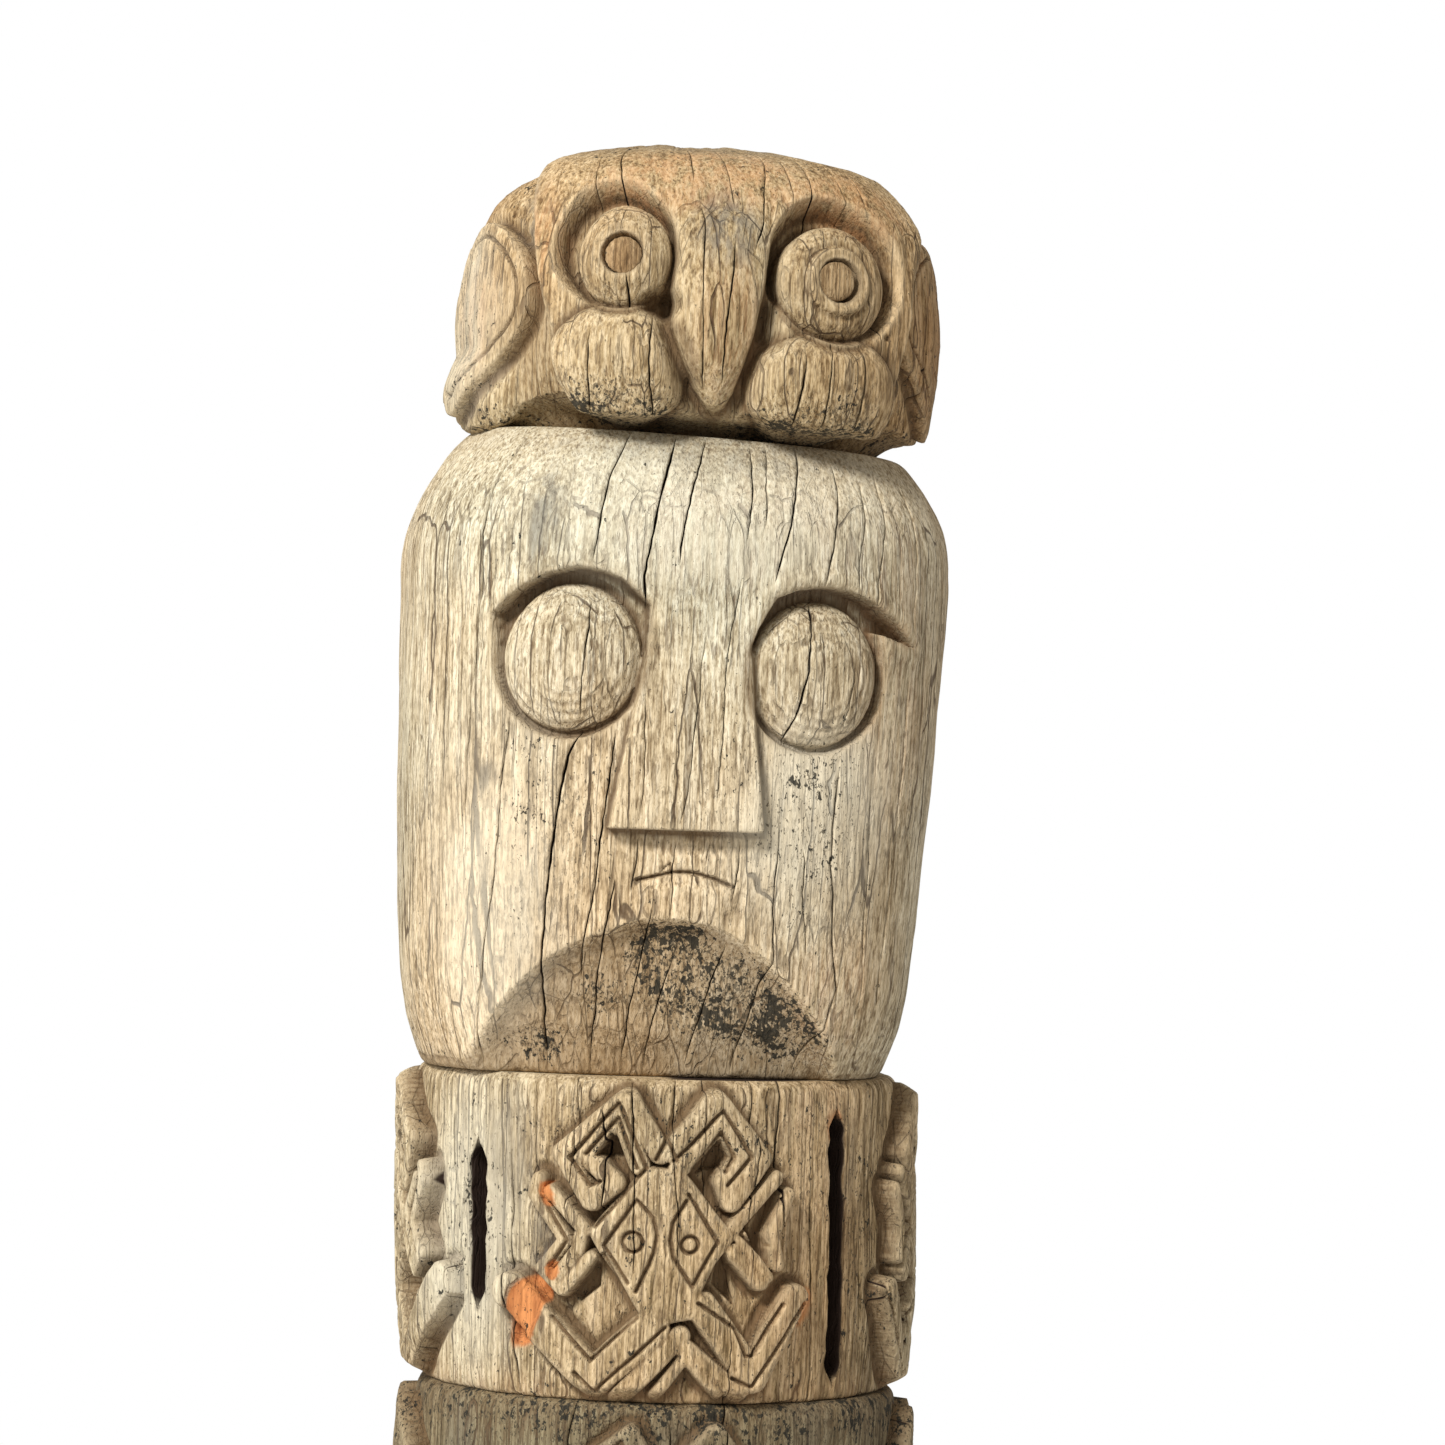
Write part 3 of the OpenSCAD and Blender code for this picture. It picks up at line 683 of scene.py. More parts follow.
    # a shallow curved line over the left brow
    h += groove(distance(u, z, [(-106, 262), (-103, 276), (-96, 288), (-86, 297), (-76, 302)]), 2.2, 0.9)
    masks = {
        # deep: painted shade round the eyes, under the brows and the nose, beside the nose, in the mouth
        # line and the creases, with some dirt
        "deep": 0.95 * shade_and_dirt ** 1.4,
        # stain: darker below the chin ridge, towards both ends and in the eyes' rings, and again where the
        # painted shade lies
        "stain": unit(0.85 * smooth(drop, 0, 5) + 0.5 * smooth(12 - z, 0, 12) + shade_and_dirt
                      + 0.35 * smooth(z, 285, 305) + aged),
        "mould": unit(blobs(
            u, z, (1.1, -4, 60, 34, 26), (0.7, 8, 40, 40, 30), (0.85, 34, 36, 52, 34),
            (0.8, -38, 36, 22, 18), (0.8, -78, 12, 34, 12), (0.8, 66, 20, 40, 26),
            (0.75, 64, 124, 44, 62), (0.5, 18, 146, 22, 40), (0.35, -60, 130, 50, 60),
        )) * (0.72 + 0.28 * smooth(drop, 1, 4)),
        "grey": unit(blobs(u, z, (1, -76, 262, 14, 34), (1, -103, 141, 14, 9, 25),
                           (0.3, -70, 60, 26, 60, 8), (0.5, 20, 300, 120, 14))),
        "bleach": unit(blobs(u, z, (0.8, 66, 124, 60, 70), (0.6, -100, 100, 60, 110),
                             (0.7, 0, 268, 130, 46))),
        "warm": unit(blobs(u, z, (0.5, 90, 40, 40, 40), (0.35, 20, 262, 90, 40), (0.4, 112, 200, 40, 120))),
    }
    return h, masks


FACE_CRACKS = [
    Crack([(308, -128), (150, -131), (0, -137)], [(10, 235, 3.5, 0.8)]),
    Crack([(308, -105), (279, -108.8), (244, -106.8), (223, -107.6), (157, -112.3), (60, -116),
           (0, -121)],
          [(120, 304, 6.5, 1.25)]),
    Crack([(308, -86), (200, -84), (170, -88), (151, -90.8), (94, -93.8), (43, -102.5), (0, -111.8)],
          [(2, 172, 4.6, 0.95)]),
    Crack([(308, -43.6), (283, -48), (256, -48.4), (227, -50.1), (163, -52.9), (152, -58), (83, -66.2),
           (0, -73.3)],
          [(243, 309, 5, 0.95), (168, 228, 3, 0.7), (1, 166, 6, 1.25)]),
    Crack([(308, -32), (165, -35), (135, -38.2), (95, -41.8), (64, -46.7), (0, -55)],
          [(44, 166, 3.5, 0.8)]),
    Crack([(308, -26), (130, -28), (87, -33.6), (66, -36.7), (5, -45.2)], [(2, 96, 3.6, 0.85)]),
    Crack([(308, -17.6), (282, -19.7), (235, -25.2), (160, -21), (115, -22), (88, -23.5), (60, -26),
           (0, -36)],
          [(222, 309, 5.5, 1.1), (124, 188, 1.6, 0.55), (86, 117, 2.2, 0.6)]),
    Crack([(308, 1.2), (277, -5), (246, -8.5), (160, -9), (100, -11), (80, -13), (40, -20), (0, -28)],
          [(242, 308, 4, 0.85), (3, 84, 3.4, 0.8)]),
    Crack([(308, 16), (246, 8), (160, 2), (97, -4.2), (73, -3.8), (55, -1), (30, -8), (0, -15)],
          [(120, 214, 1.6, 0.5), (74, 117, 2.4, 0.65), (2, 58, 3.2, 0.75)]),
    Crack([(308, 27), (246, 22), (200, 16), (118, 14), (100, 12), (85, 13), (60, 14), (0, 2)],
          [(255, 306, 3.2, 0.7), (130, 240, 1.8, 0.55), (98, 117, 2, 0.6)]),
    Crack([(308, 36), (235, 28), (160, 30), (118, 29), (100, 29), (80, 26), (60, 26), (35, 18),
           (0, 10)],
          [(262, 308, 3, 0.7), (82, 116, 2.2, 0.6), (2, 66, 3.4, 0.8)]),
    Crack([(308, 54), (299, 53.1), (277, 46.4), (235, 36.4), (160, 41.5), (120, 47.5), (81, 48),
           (57, 50), (45, 47), (25, 43), (0, 37)],
          [(236, 309, 5.2, 1.1), (2, 128, 3.6, 0.8)]),
    Crack([(308, 75), (289, 73.4), (263, 67.6), (238, 62.7), (229, 58), (196, 56.2), (175, 51.5),
           (163, 47.7), (152, 50), (120, 59), (105, 62), (82, 64), (60, 69), (38, 68), (0, 60)],
          [(236, 300, 4, 0.9), (160, 230, 5, 1.2), (60, 112, 2.4, 0.65)], ends=8.0),
    Crack([(308, 92), (270, 84), (235, 80), (195, 80), (170, 77), (121, 75.4), (73, 80.7), (45, 87.9),
           (20, 82.4), (0, 77.5)],
          [(236, 292, 2.6, 0.65), (165, 200, 2.4, 0.65), (2, 150, 4.6, 1.0)]),
    Crack([(308, 104), (286, 99.7), (236, 92), (200, 95), (150, 97), (85, 101), (40, 106), (0, 103)],
          [(226, 300, 3.6, 0.8), (30, 150, 3, 0.75)]),
    Crack([(308, 122), (200, 118), (100, 120), (0, 119)], [(28, 196, 3.6, 0.85), (216, 300, 2.6, 0.7)]),
]


# ---------------------------------------------------------------- the owl

OWL_SIZES = (122, 120, 2.4)
OWL_SHIFT = 8.0
OWL_H = 146
OWL_PROFILE = [(0, 108), (5, 111.5), (15, 115.4), (25, 118.3), (35, 120.6), (45, 121.7), (55, 122.2),
               (65, 121.8), (75, 120.8), (85, 119.6), (95, 117.8), (103, 115.4), (110, 112.3),
               (116, 108.8), (122, 104), (128, 97.5), (133, 90), (138, 79.5), (142, 67), (145, 52),
               (146, 42)]
# The middle, half width and half height of each eye, socket and cheek
OWL_EYES = ((-47.5, 83.0, 23.6, 25.6), (55.5, 74.6, 29.2, 28.4))
OWL_SOCKETS = ((-52, 88.5, 31.5, 30), (57.5, 80.5, 37, 34.5))
OWL_CHEEKS = ((-49, 30, 35, 30), (52, 24, 40, 27))
# The raised front of the head, the beak and the left wing
OWL_FRONT = [(-98, 150), (-104, 128), (-103, 119), (-94, 83), (-85, 54), (-75.5, 25.5), (-64.7, 4.6),
             (-52, -8), (60, -8), (83.6, 8), (95.3, 37.7), (104, 72), (122, 112), (126, 128), (118, 150)]
BEAK = [(-30, 116), (-24.5, 98), (-22.7, 82), (-23.4, 49.5), (-12, 21.9), (-5.5, 12), (-1, 10),
        (3, 13), (7.1, 20.3), (16.7, 51.2), (22.6, 84), (25, 100), (31, 116)]
LEAF = rounded([(-142, 108), (-124, 100), (-109, 86), (-103, 68), (-106, 52), (-116, 40), (-130, 30),
                (-146, 19), (-162, 13), (-178, 22), (-184, 50), (-180, 80), (-164, 102)])


def owl_relief(u, z):
    gap = inside(u, z, OWL_FRONT)
    away = np.abs(u)
    proud = smooth(gap, -3.0, 1.6)
    wing = along([(90, -13), (116, -11), (140, -6.5)], away)
    h = wing * (1 - proud) + 5 * proud
    h += blobs(u, z, (10, -158, 18, 46, 26), (7, -148, 0, 50, 16), (1, 158, 12, 46, 22)) * (1 - proud)
    # painted shade along the foot of the raised front's edge
    shade_and_dirt = 0.6 * bell(gap, -3.4, 3.0)
    # sockets, deepest above and outside each eye, with painted shade inside them
    for su, sz, wu, wz in OWL_SOCKETS:
        ring = np.hypot((u - su) / wu, (z - sz) / wz)
        deep = along([(30, 3), (50, 8), (75, 13), (110, 14.5)], z)
        h -= deep * (1 - smooth(ring, 0.88, 1.02))
        shade_and_dirt = np.maximum(shade_and_dirt, 0.55 * (1 - smooth(ring, 0.85, 1.05)))
    # cheeks, round below and tucked under the eyes, with a ring of painted shade round each
    for cu, cz, ru, rz in OWL_CHEEKS:
        ring = np.hypot((u - cu) / ru, (z - cz) / rz)
        bulge = 15.5 * np.sqrt(unit(1 - ring ** 2.1))
        low = smooth(cz - z, rz * 0.5, rz * 1.0)
        h = h * (1 - 0.35 * (ring < 1)) + bulge - 12 * low * smooth(ring, 0.9, 1.0)
        shade_and_dirt = np.maximum(shade_and_dirt, 0.7 * bell(ring, 1.02, 0.1))
    # the beak between its two creases, with painted shade along them
    gap = inside(u, z, BEAK)
    crease = 8.5 * bell(gap, -3.2, 4.2) * (1 - smooth(z, 62, 112)) * smooth(z, 3, 16)
    h -= crease
    shade_and_dirt = np.maximum(shade_and_dirt, 0.8 * bell(gap, -2.6, 3.2) * (1 - smooth(z, 70, 100)))
    top = along([(8, 4), (16, 10), (35, 15), (60, 15.5), (85, 11.5), (116, 5.2)], z)
    ridge = top - 5.5 * unit(1 - np.clip(gap, 0, 99) / along([(10, 6), (50, 17), (90, 22)], z)) ** 2
    share = smooth(gap, -1.6, 1.6) * (1 - smooth(z, 98, 116))
    h = h * (1 - share) + ridge * share
    # eye discs, the right one with a raised ring and a groove round its pupil, with painted shade round each
    # disc and in the gap round its pupil
    for k, (cu, cz, ru, rz) in enumerate(OWL_EYES):
        ring = np.hypot((u - cu) / ru, (z - cz) / rz)
        dome = -2.5 + 11.5 * np.sqrt(unit(1 - np.clip(ring, 0, 1) ** 2.5))
        d = np.hypot(u - cu, z - cz)
        if k:
            dome += 1.1 * bell(d, 14.2, 1.8) - 1.2 * bell(d, 17.2, 1.5)
        else:
            dome += 0.7 * bell(d, 13.6, 1.7)
        dome -= 12 * (1 - smooth(d, 8.8 + 0.8 * k, 9.6 + 0.8 * k))
        floor = h - 2.5 * bell(ring, 1.08, 0.07)
        disc = 1 - smooth(ring, 0.955, 1.03)
        shade_and_dirt *= 1 - 0.75 * disc
        h = floor * (1 - disc) + np.maximum(dome, -14) * disc
        shade_and_dirt = np.maximum(shade_and_dirt, 0.9 * bell(ring, 1.06, 0.08))
        shade_and_dirt = np.maximum(shade_and_dirt, 0.9 * bell((d - 9.6 - 0.8 * k), 0, 0.9))
    # hollows below the eyes, against the beak, with painted shade in the left one
    h -= blobs(u, z, (12, -28, 60, 12, 9), (6, 23, 52, 9, 16))
    shade_and_dirt = np.maximum(shade_and_dirt, blob(u, z, -29, 60, 12, 9))
    # a leaf-shaped wing on each side, and feather ridges behind, with painted shade along the leaf's edge
    # and its groove
    for side in (-1, 1):
        x = np.where(side < 0, u, -u + 3)
        leaf = inside(x, z, LEAF)
        h += (6.5 if side < 0 else 4.5) * smooth(leaf, -1.5, 2.0) * (1 - 0.2 * smooth(leaf, 8, 20))
        h += groove(np.abs(leaf - 8.5), 1.5, 2.4)
        h -= 2.2 * bell(leaf, -3, 3.0)
        shade_and_dirt = np.maximum(shade_and_dirt, 0.7 * bell(leaf, -1.8, 2.2))
        shade_and_dirt = np.maximum(shade_and_dirt, 0.6 * bell(leaf, 8.5, 1.4))
    feathers = np.abs(np.sin((away - 200) / 21.0 * math.pi * 0.5))
    h += smooth(away, 205, 232) * (2.5 * feathers - 2.0)
    # the crown is worn smooth, and the underside falls back in front and swells out on the left
    h *= 1 - smooth(z, 128, 144) * 0.85 * proud
    h -= 13 * (1 - smooth(z, 1, 8)) * (1 - smooth(away, 84, 104))
    h += np.where(u < 0, 5, 0) * (1 - smooth(z, 4, 34)) * smooth(away, 96, 128)
    masks = {
        # deep: painted shade in the sockets, round the cheeks, eyes and pupils, in the creases and the left
        # hollow, along the front's and leaves' edges, with some dirt
        "deep": 0.85 * shade_and_dirt ** 1.4,
        # stain: darker in the valley left of the left cheek, on the crown and underside, and on the right
        # side as painted shade; the painted shade from the creases is added again
        "stain": unit(shade_and_dirt + 0.7 * (1 - proud) * blob(u, z, -96, 50, 34, 90) + 0.35 * smooth(z, 118, 140)
                      + 0.55 * smooth(u, 120, 190) + 0.6 * smooth(14 - z, 0, 14)),
        "warm": unit(blobs(
            u, z, (1, -30, 118, 50, 20), (1, 12, 122, 60, 22), (1, 78, 112, 40, 22), (0.7, -146, 56, 30, 40),
            (0.6, 4, 52, 22, 50), (0.8, 150, 70, 40, 70), (1, -94, 92, 18, 34),
        )),
        "mould": unit(blobs(u, z, (0.85, -50, 12, 44, 26), (0.7, 50, 10, 50, 24)) + 0.4 * smooth(z, 112, 136)
                      + 0.5 * smooth(22 - z, 0, 22) + 0.35 * smooth(away, 110, 150)),
        "grey": unit(blobs(u, z, (1, 2, 96, 22, 26), (0.9, -112, 112, 22, 26)) + 0.5 * smooth(z, 132, 142)),
        "bleach": 0.8 * blob(u, z, -156, 60, 44, 60),
    }
    return h, masks


OWL_CRACKS = [
    Crack([(146, -150), (60, -146), (0, -152)], [(30, 96, 1.8, 0.5)]),
    Crack([(146, -118), (60, -116), (0, -121)], [(4, 40, 3, 0.8)]),
    Crack([(146, -91), (113, -86), (83, -87.9), (16, -87), (0, -88)],
          [(8, 78, 3.4, 0.8), (110, 132, 2.2, 0.6)]),
    Crack([(146, -70), (130, -66), (63, -57), (7, -61), (0, -61)], [(6, 50, 3, 0.75),
                                                                    (104, 140, 2, 0.6)]),
    Crack([(146, -55), (131, -53.7), (110, -47.2), (63, -44), (0, -44)],
          [(106, 144, 4.6, 0.95), (56, 74, 3.6, 0.9)], ends=5.0),
    Crack([(146, -31), (64, -31.5), (7, -32.3), (0, -32)], [(4, 58, 3, 0.75)]),
    Crack([(146, -12), (132, -10.8), (60, -9), (17, -8.3), (0, -9)],
          [(20, 110, 2.4, 0.65), (116, 144, 2, 0.6)]),
    Crack([(146, 10), (124, 9.1), (50, 1.4), (0, 0)], [(24, 92, 3.4, 0.8), (104, 140, 2, 0.6)]),
    Crack([(146, 38), (131, 33.7), (114, 24), (74, 12), (0, 12)], [(84, 142, 3.4, 0.8)]),
    Crack([(146, 52), (103, 36), (45, 38), (8, 36), (0, 36)], [(5, 44, 3.2, 0.8),
                                                               (108, 142, 2.6, 0.65)]),
    Crack([(146, 64), (137, 62), (103, 47), (46, 50), (8, 48), (0, 48)],
          [(100, 143, 3.6, 0.9), (6, 50, 3, 0.75)], ends=7.0),
    Crack([(146, 82), (104, 68), (44, 66), (7, 64.5), (0, 64)], [(6, 50, 3.4, 0.8),
                                                                 (104, 138, 2.4, 0.6)]),
    Crack([(146, 96), (104, 78), (50, 80), (0, 78)], [(44, 66, 2.8, 0.7),
                                                      (108, 140, 2.4, 0.65)], ends=6.0),
    Crack([(146, 112), (60, 108), (0, 106)], [(2, 112, 4.4, 0.9)]),
    Crack([(146, 140), (111, 138), (12, 132), (0, 132)], [(8, 118, 4.4, 0.95)]),
]


# ---------------------------------------------------------------- the drums

DRUM_SIZES = (120, 120, 2.0)
DRUM_PROFILE = [(0, 115.5), (4, 116.2), (60, 118.2), (120, 119.6), (146, 120), (150.5, 119.4), (154, 116)]
DRUM_H = 154
DRUM_ROUND = 760
QUARTER = math.pi * 120 / 2
MOTIF_AT = -3 / 360 * 4 * QUARTER
MOTIF_REACH = 84
SIDE_MOTIF_SQUEEZE = 1.12
# How far a slot is moved and how it leans, its lowest and highest point, its depth and half width
SLOTS = (
    (0, 0, 24, 132, 30, 5),
    (-7, -2.5, 36, 124, 34, 6.0),
    (1, 2.0, 5, 143, 34, 6.4),
    (0, 0, 20, 134, 30, 5),
)
# Strength, unevenness, the two ends of the fade, and the place of each bare patch
FRESH_BREAKS = (
    (1, 0.22, 0.3, 0.55, -74, 41, 15, 28, -24),
    (1, 0.2, 0.3, 0.6, -61, 98, 5, 9, 15),
    (1, 0.2, 0.35, 0.6, -58, 62, 5, 7),
    (0.6, 0.25, 0.35, 0.7, 66, 46, 7, 14, -25),
    (0.55, 0.35, 0.45, 0.8, 86, 132, 9, 14),
)
# Half the width and the middle line of each raised strip of the motif
RAISED = (
    (5.6, [(-2, 122), (-16, 147), (-47, 121), (-34, 99), (-23, 108), (-34, 119)]),
    (5.0, [(-11, 116), (-19, 139), (-38, 120)]),
    (5.6, [(3, 123), (23, 148), (44, 121), (30, 101), (27, 110)]),
    (5.0, [(6, 115), (25, 138), (35, 121), (27, 111)]),
    (3.8, [(-59, 108), (-61, 101), (-46, 80), (-58, 66), (-48, 57), (-34, 72)]),
    (3.8, [(-53, 102), (-38, 86), (-40, 76), (-50, 63)]),
    (3.8, [(52, 112), (32, 89), (39, 77), (48, 65)]),
    (3.8, [(58, 104), (50, 85), (53, 71)]),
    (4.5, [(45, 62), (32, 76)]),
    (9.5, [(-76, 54), (-32, 15), (-6, 39)]),
    (5.0, [(-21, 5), (8, 36)]),
    (8.0, [(63, 54), (42, 16), (18, 50)]),
    (5.0, [(10, 30), (36, 8)]),
    (3.0, [(-4, 8), (10, 26), (26, 8)]),
)
BODY = [(-8, 116), (8, 115), (27, 91), (34, 84), (24, 70), (18, 57), (16, 44), (-2, 40), (-12, 47),
        (-22, 62), (-31, 75), (-36, 84), (-30, 92)]
# Lines cut into the motif, pockets between its strips, and rings round its pupils
INCISED = (
    [(-8, 115), (-19, 143), (-20, 145), (-43, 119), (-34, 106), (-29, 108)],
    [(-12, 115), (-20, 138), (-35, 121)],
    [(4, 119), (26, 143), (39, 122), (28, 109)],
    [(12, 115), (25, 133), (31, 122), (27, 115)],
    [(-4, 119), (1, 130), (5, 119)],
    [(-9, 114), (-32, 87)],
    [(11, 112), (27, 93)],
    [(-13, 100), (-6, 92), (-4, 84), (-5, 76), (-7, 70), (-13, 57)],
    [(-14, 99), (-28, 78), (-17, 61)],
    [(9, 100), (3, 90), (2, 82), (4, 74), (13, 60), (24, 81), (10, 103)],
    [(-57, 99), (-45, 80), (-54, 67)],
    [(51, 105), (35, 85), (45, 76)],
    [(54, 102), (44, 86), (48, 80)],
    [(-53, 44), (-33, 24), (-12, 45), (-28, 74)],
    [(-41, 18), (-31, 9), (1, 40)],
    [(68, 52), (41, 12), (32, 16)],
    [(16, 52), (33, 40), (38, 27)],
    [(56, 52), (41, 27), (38, 27)],
)
POCKETS = (
    [(-31, 120), (-23, 131), (-18, 119)],
    [(14, 112), (25, 128), (27, 117)],
    [(-31, 72), (-31, 58), (-41, 51), (-45, 54)],
    [(28, 76), (24, 60), (35, 50), (33, 66)],
)
PUPILS = ((-15, 80, 4.6), (11, 80, 3.8))


def motif_relief(x, z, relief, worn):
    """The hooked frog-like motif. Returns its height and where it is painted dark: painted shade in the
    grooves round its strips, its cut lines and its pockets, with some dirt.
    """
    gap = inside(x, z, BODY)
    for half, line in RAISED:
        gap = np.maximum(gap, half - distance(x, z, line))
    raised = smooth(gap, -0.7, 0.7)
    h = relief * raised * (0.9 + 0.1 * smooth(gap, 0, 5))
    h -= 1.6 * bell(gap, -2.4, 2.4)
    shade_and_dirt = bell(gap, -1.3, 2.2)
    lines = np.full(np.shape(x), 99.0)
    for line in INCISED:
        lines = np.minimum(lines, distance(x, z, line))
    for px, pz, r in PUPILS:
        lines = np.minimum(lines, np.abs(np.hypot(x - px, z - pz) - r))
    h -= worn * 3.0 * (1 - smooth(lines, 0.1, 1.5)) * raised
    shade_and_dirt = np.maximum(shade_and_dirt, 0.9 * (1 - smooth(lines, 0.3, 1.3)) * raised)
    for pocket in POCKETS:
        hole = inside(x, z, pocket)
        h -= (h + 5) * smooth(hole, -0.6, 1.4)
        shade_and_dirt = np.maximum(shade_and_dirt, smooth(hole, -1, 1.5))
    return h, shade_and_dirt


def drum_relief(relief, worn, seed, lowered):
    """The relief of a drum with four motifs, worn by a share and lowered by some millimetres."""
    def relief_of(u, z):
        def wave(cell_u, cell_v, k):
            return noise(u, z, cell_u, cell_v, 4 * QUARTER, seed + k)

        h, shade_and_dirt = np.zeros_like(u), np.zeros_like(u)
        jog, rise = 0.9 * wave(30, 30, 0), 0.9 * wave(26, 34, 1)
        for i in range(4):
            front = i == 0
            x = (u - MOTIF_AT - i * QUARTER + 2 * QUARTER) % (4 * QUARTER) - 2 * QUARTER
            x *= 1.0 if front else SIDE_MOTIF_SQUEEZE
            near = np.abs(x) < MOTIF_REACH
            mirror = -1 if i % 2 else 1
            shape, dark = motif_relief(mirror * (x[near] + jog[near]), z[near] + rise[near] + lowered,
                                       relief + (0 if front else 1.5), worn)
            above = smooth(z[near], DRUM_H - 9, DRUM_H - 2)
            h[near] = shape * smooth(z[near], 0, 9) * (1 - 0.8 * above)
            shade_and_dirt[near] = dark
        h += 0.8 * wave(12, 40, 2)
        rims = 0.35 * smooth(9 - z, 0, 9) + 0.2 * smooth(z, DRUM_H - 6, DRUM_H)
        # deep: painted shade in the motif's grooves, cut lines and pockets, with some dirt; stain adds it
        # again, and the rims darken at the joints
        return h, {"deep": 0.9 * shade_and_dirt ** 1.2, "stain": unit(shade_and_dirt + rims)}
    return relief_of


def marked_drum(u, z):
    """The upper drum's relief, with its stains and its fresh breaks."""
    h, masks = drum_relief(9.5, 1.0, 71, 3.0)(u, z)
    ragged = noise(u, z, 5, 16, DRUM_ROUND, 91)
    fresh = np.zeros_like(u)
    for strength, uneven, low, high, *place in FRESH_BREAKS:
        fresh = np.maximum(fresh, strength * smooth(blob(u, z, *place) + uneven * ragged, low, high))
    h -= 3.4 * smooth(blob(u, z, -75, 43, 14, 26, -24), 0.1, 0.8)
    streaks = smooth(noise(u, z, 3.2, 60, DRUM_ROUND, 97), -0.3, 0.6)
    beside = blobs(u, z, (1, 96, 74, 30, 110), (0.7, -101, 78, 15, 60)) + 0.35
    # deep: darker inside the two slots, as painted shade with dirt, and in streaks beside them
    deep = np.maximum(masks["deep"], blobs(u, z, (0.55, -103, 62, 7, 40), (0.5, 92, 74, 9, 76)))
    masks.update({
        "fresh": fresh,
        "deep": np.maximum(deep, 0.5 * unit(beside - 0.3) * smooth(streaks, 0.5, 1)),
        "stain": unit(masks["stain"] + 0.6 * beside * streaks),
        "grey": unit(blobs(u, z, (1, -67, 72, 10, 26), (0.7, 94, 118, 12, 30), (0.6, -84, 120, 20, 40))),
        "mould": 0.8 * unit(0.3 + blobs(u, z, (0.35, -108, 80, 26, 60), (0.45, 112, 70, 24, 70),
                                        (0.3, 4, 128, 110, 24))),
        "warm": unit(blobs(u, z, (0.3, 66, 60, 50, 70), (0.4, 76, 140, 40, 20))
                     + 0.3 * smooth(16 - z, 0, 12)),
        "bleach": 0.7 * blob(u, z, -112, 80, 50, 90),
    })
    return h, masks


def soiled_drum(u, z):
    """The lower drum's relief, with its damp and mould, and a darker top band that is partly painted shade
    under the drum above.
    """
    h, masks = drum_relief(9.0, 0.9, 81, 7.0)(u, z)
    # the top band is darker: painted shade under the drum above, together with stain and mould
    masks["stain"] = unit(masks["stain"] + 0.6 * smooth(z, 118, 150))
    masks["mould"] = 0.45 + 0.35 * smooth(z, 126, 148)
    masks["grey"] = 0.5 * smooth(noise(u, z, 24, 60, DRUM_ROUND, 95), 0, 0.8)
    return h, masks


def drum_cracks(seed, slots=()):
    """Drying cracks between the motifs, and a slot in the middle of each gap between them."""
    made = []
    for i in range(4):
        at = MOTIF_AT + (i - 1.5) * QUARTER
        for moved, lean, *span in slots[i:i + 1]:
            knots = [(DRUM_H, at + moved - lean), (0, at + moved + lean)]
            made.append(Crack(knots, [span], SLOT_PROFILE, wander=0.45, ends=14.0))
        made += drying_cracks(seed + i, at + 12, at + QUARTER - 12, DRUM_H, 14.0, 3.8)
    return made


# ---------------------------------------------------------------- the foot, the pupils and all pieces

FOOT_SIZES = (146, 146, 2.0)
FOOT_ROUND = 920
FOOT_H = 58
FOOT_PROFILE = [(0, 145.6), (6, 146), (46, 145.4), (50, 144.6), (53.5, 142.4), (56, 139.6), (58, 136)]
PUPIL_SIDES, PUPIL_RINGS = 48, 14
PUPIL_LENGTH, PUPIL_PROUD = 22.0, 2.6


def foot_relief(u, z):
    def wave(cell_u, cell_v, seed):
        return noise(u, z, cell_u, cell_v, FOOT_ROUND, seed)

    h = 1.1 * wave(34, 40, 61) - 2.2 * smooth(wave(16, 12, 62), 0.5, 1) * smooth(z, 30, 50)
    h -= 0.5 * np.abs(np.sin(z / 4.4 + 0.8 * wave(30, 20, 63)))
    return h, {
        "stain": unit(0.25 + 0.6 * smooth(24 - z, 0, 20) + 0.4 * smooth(z, 46, 58)),
        "mould": 0.45 + 0.35 * smooth(30 - z, 0, 26),
        "grey": np.full_like(u, 0.35),
    }


def outward(across):
    """The level direction square to the owl's outline, at that distance from its middle."""
    half_w, half_d, power = OWL_SIZES
    share = abs(across) / half_w
    slope = half_d / half_w * share ** (power - 1) * (1 - share ** power) ** (1 / power - 1)
    turn = math.copysign(math.atan(slope), across)
    return Vector((math.sin(turn), -math.cos(turn), 0))


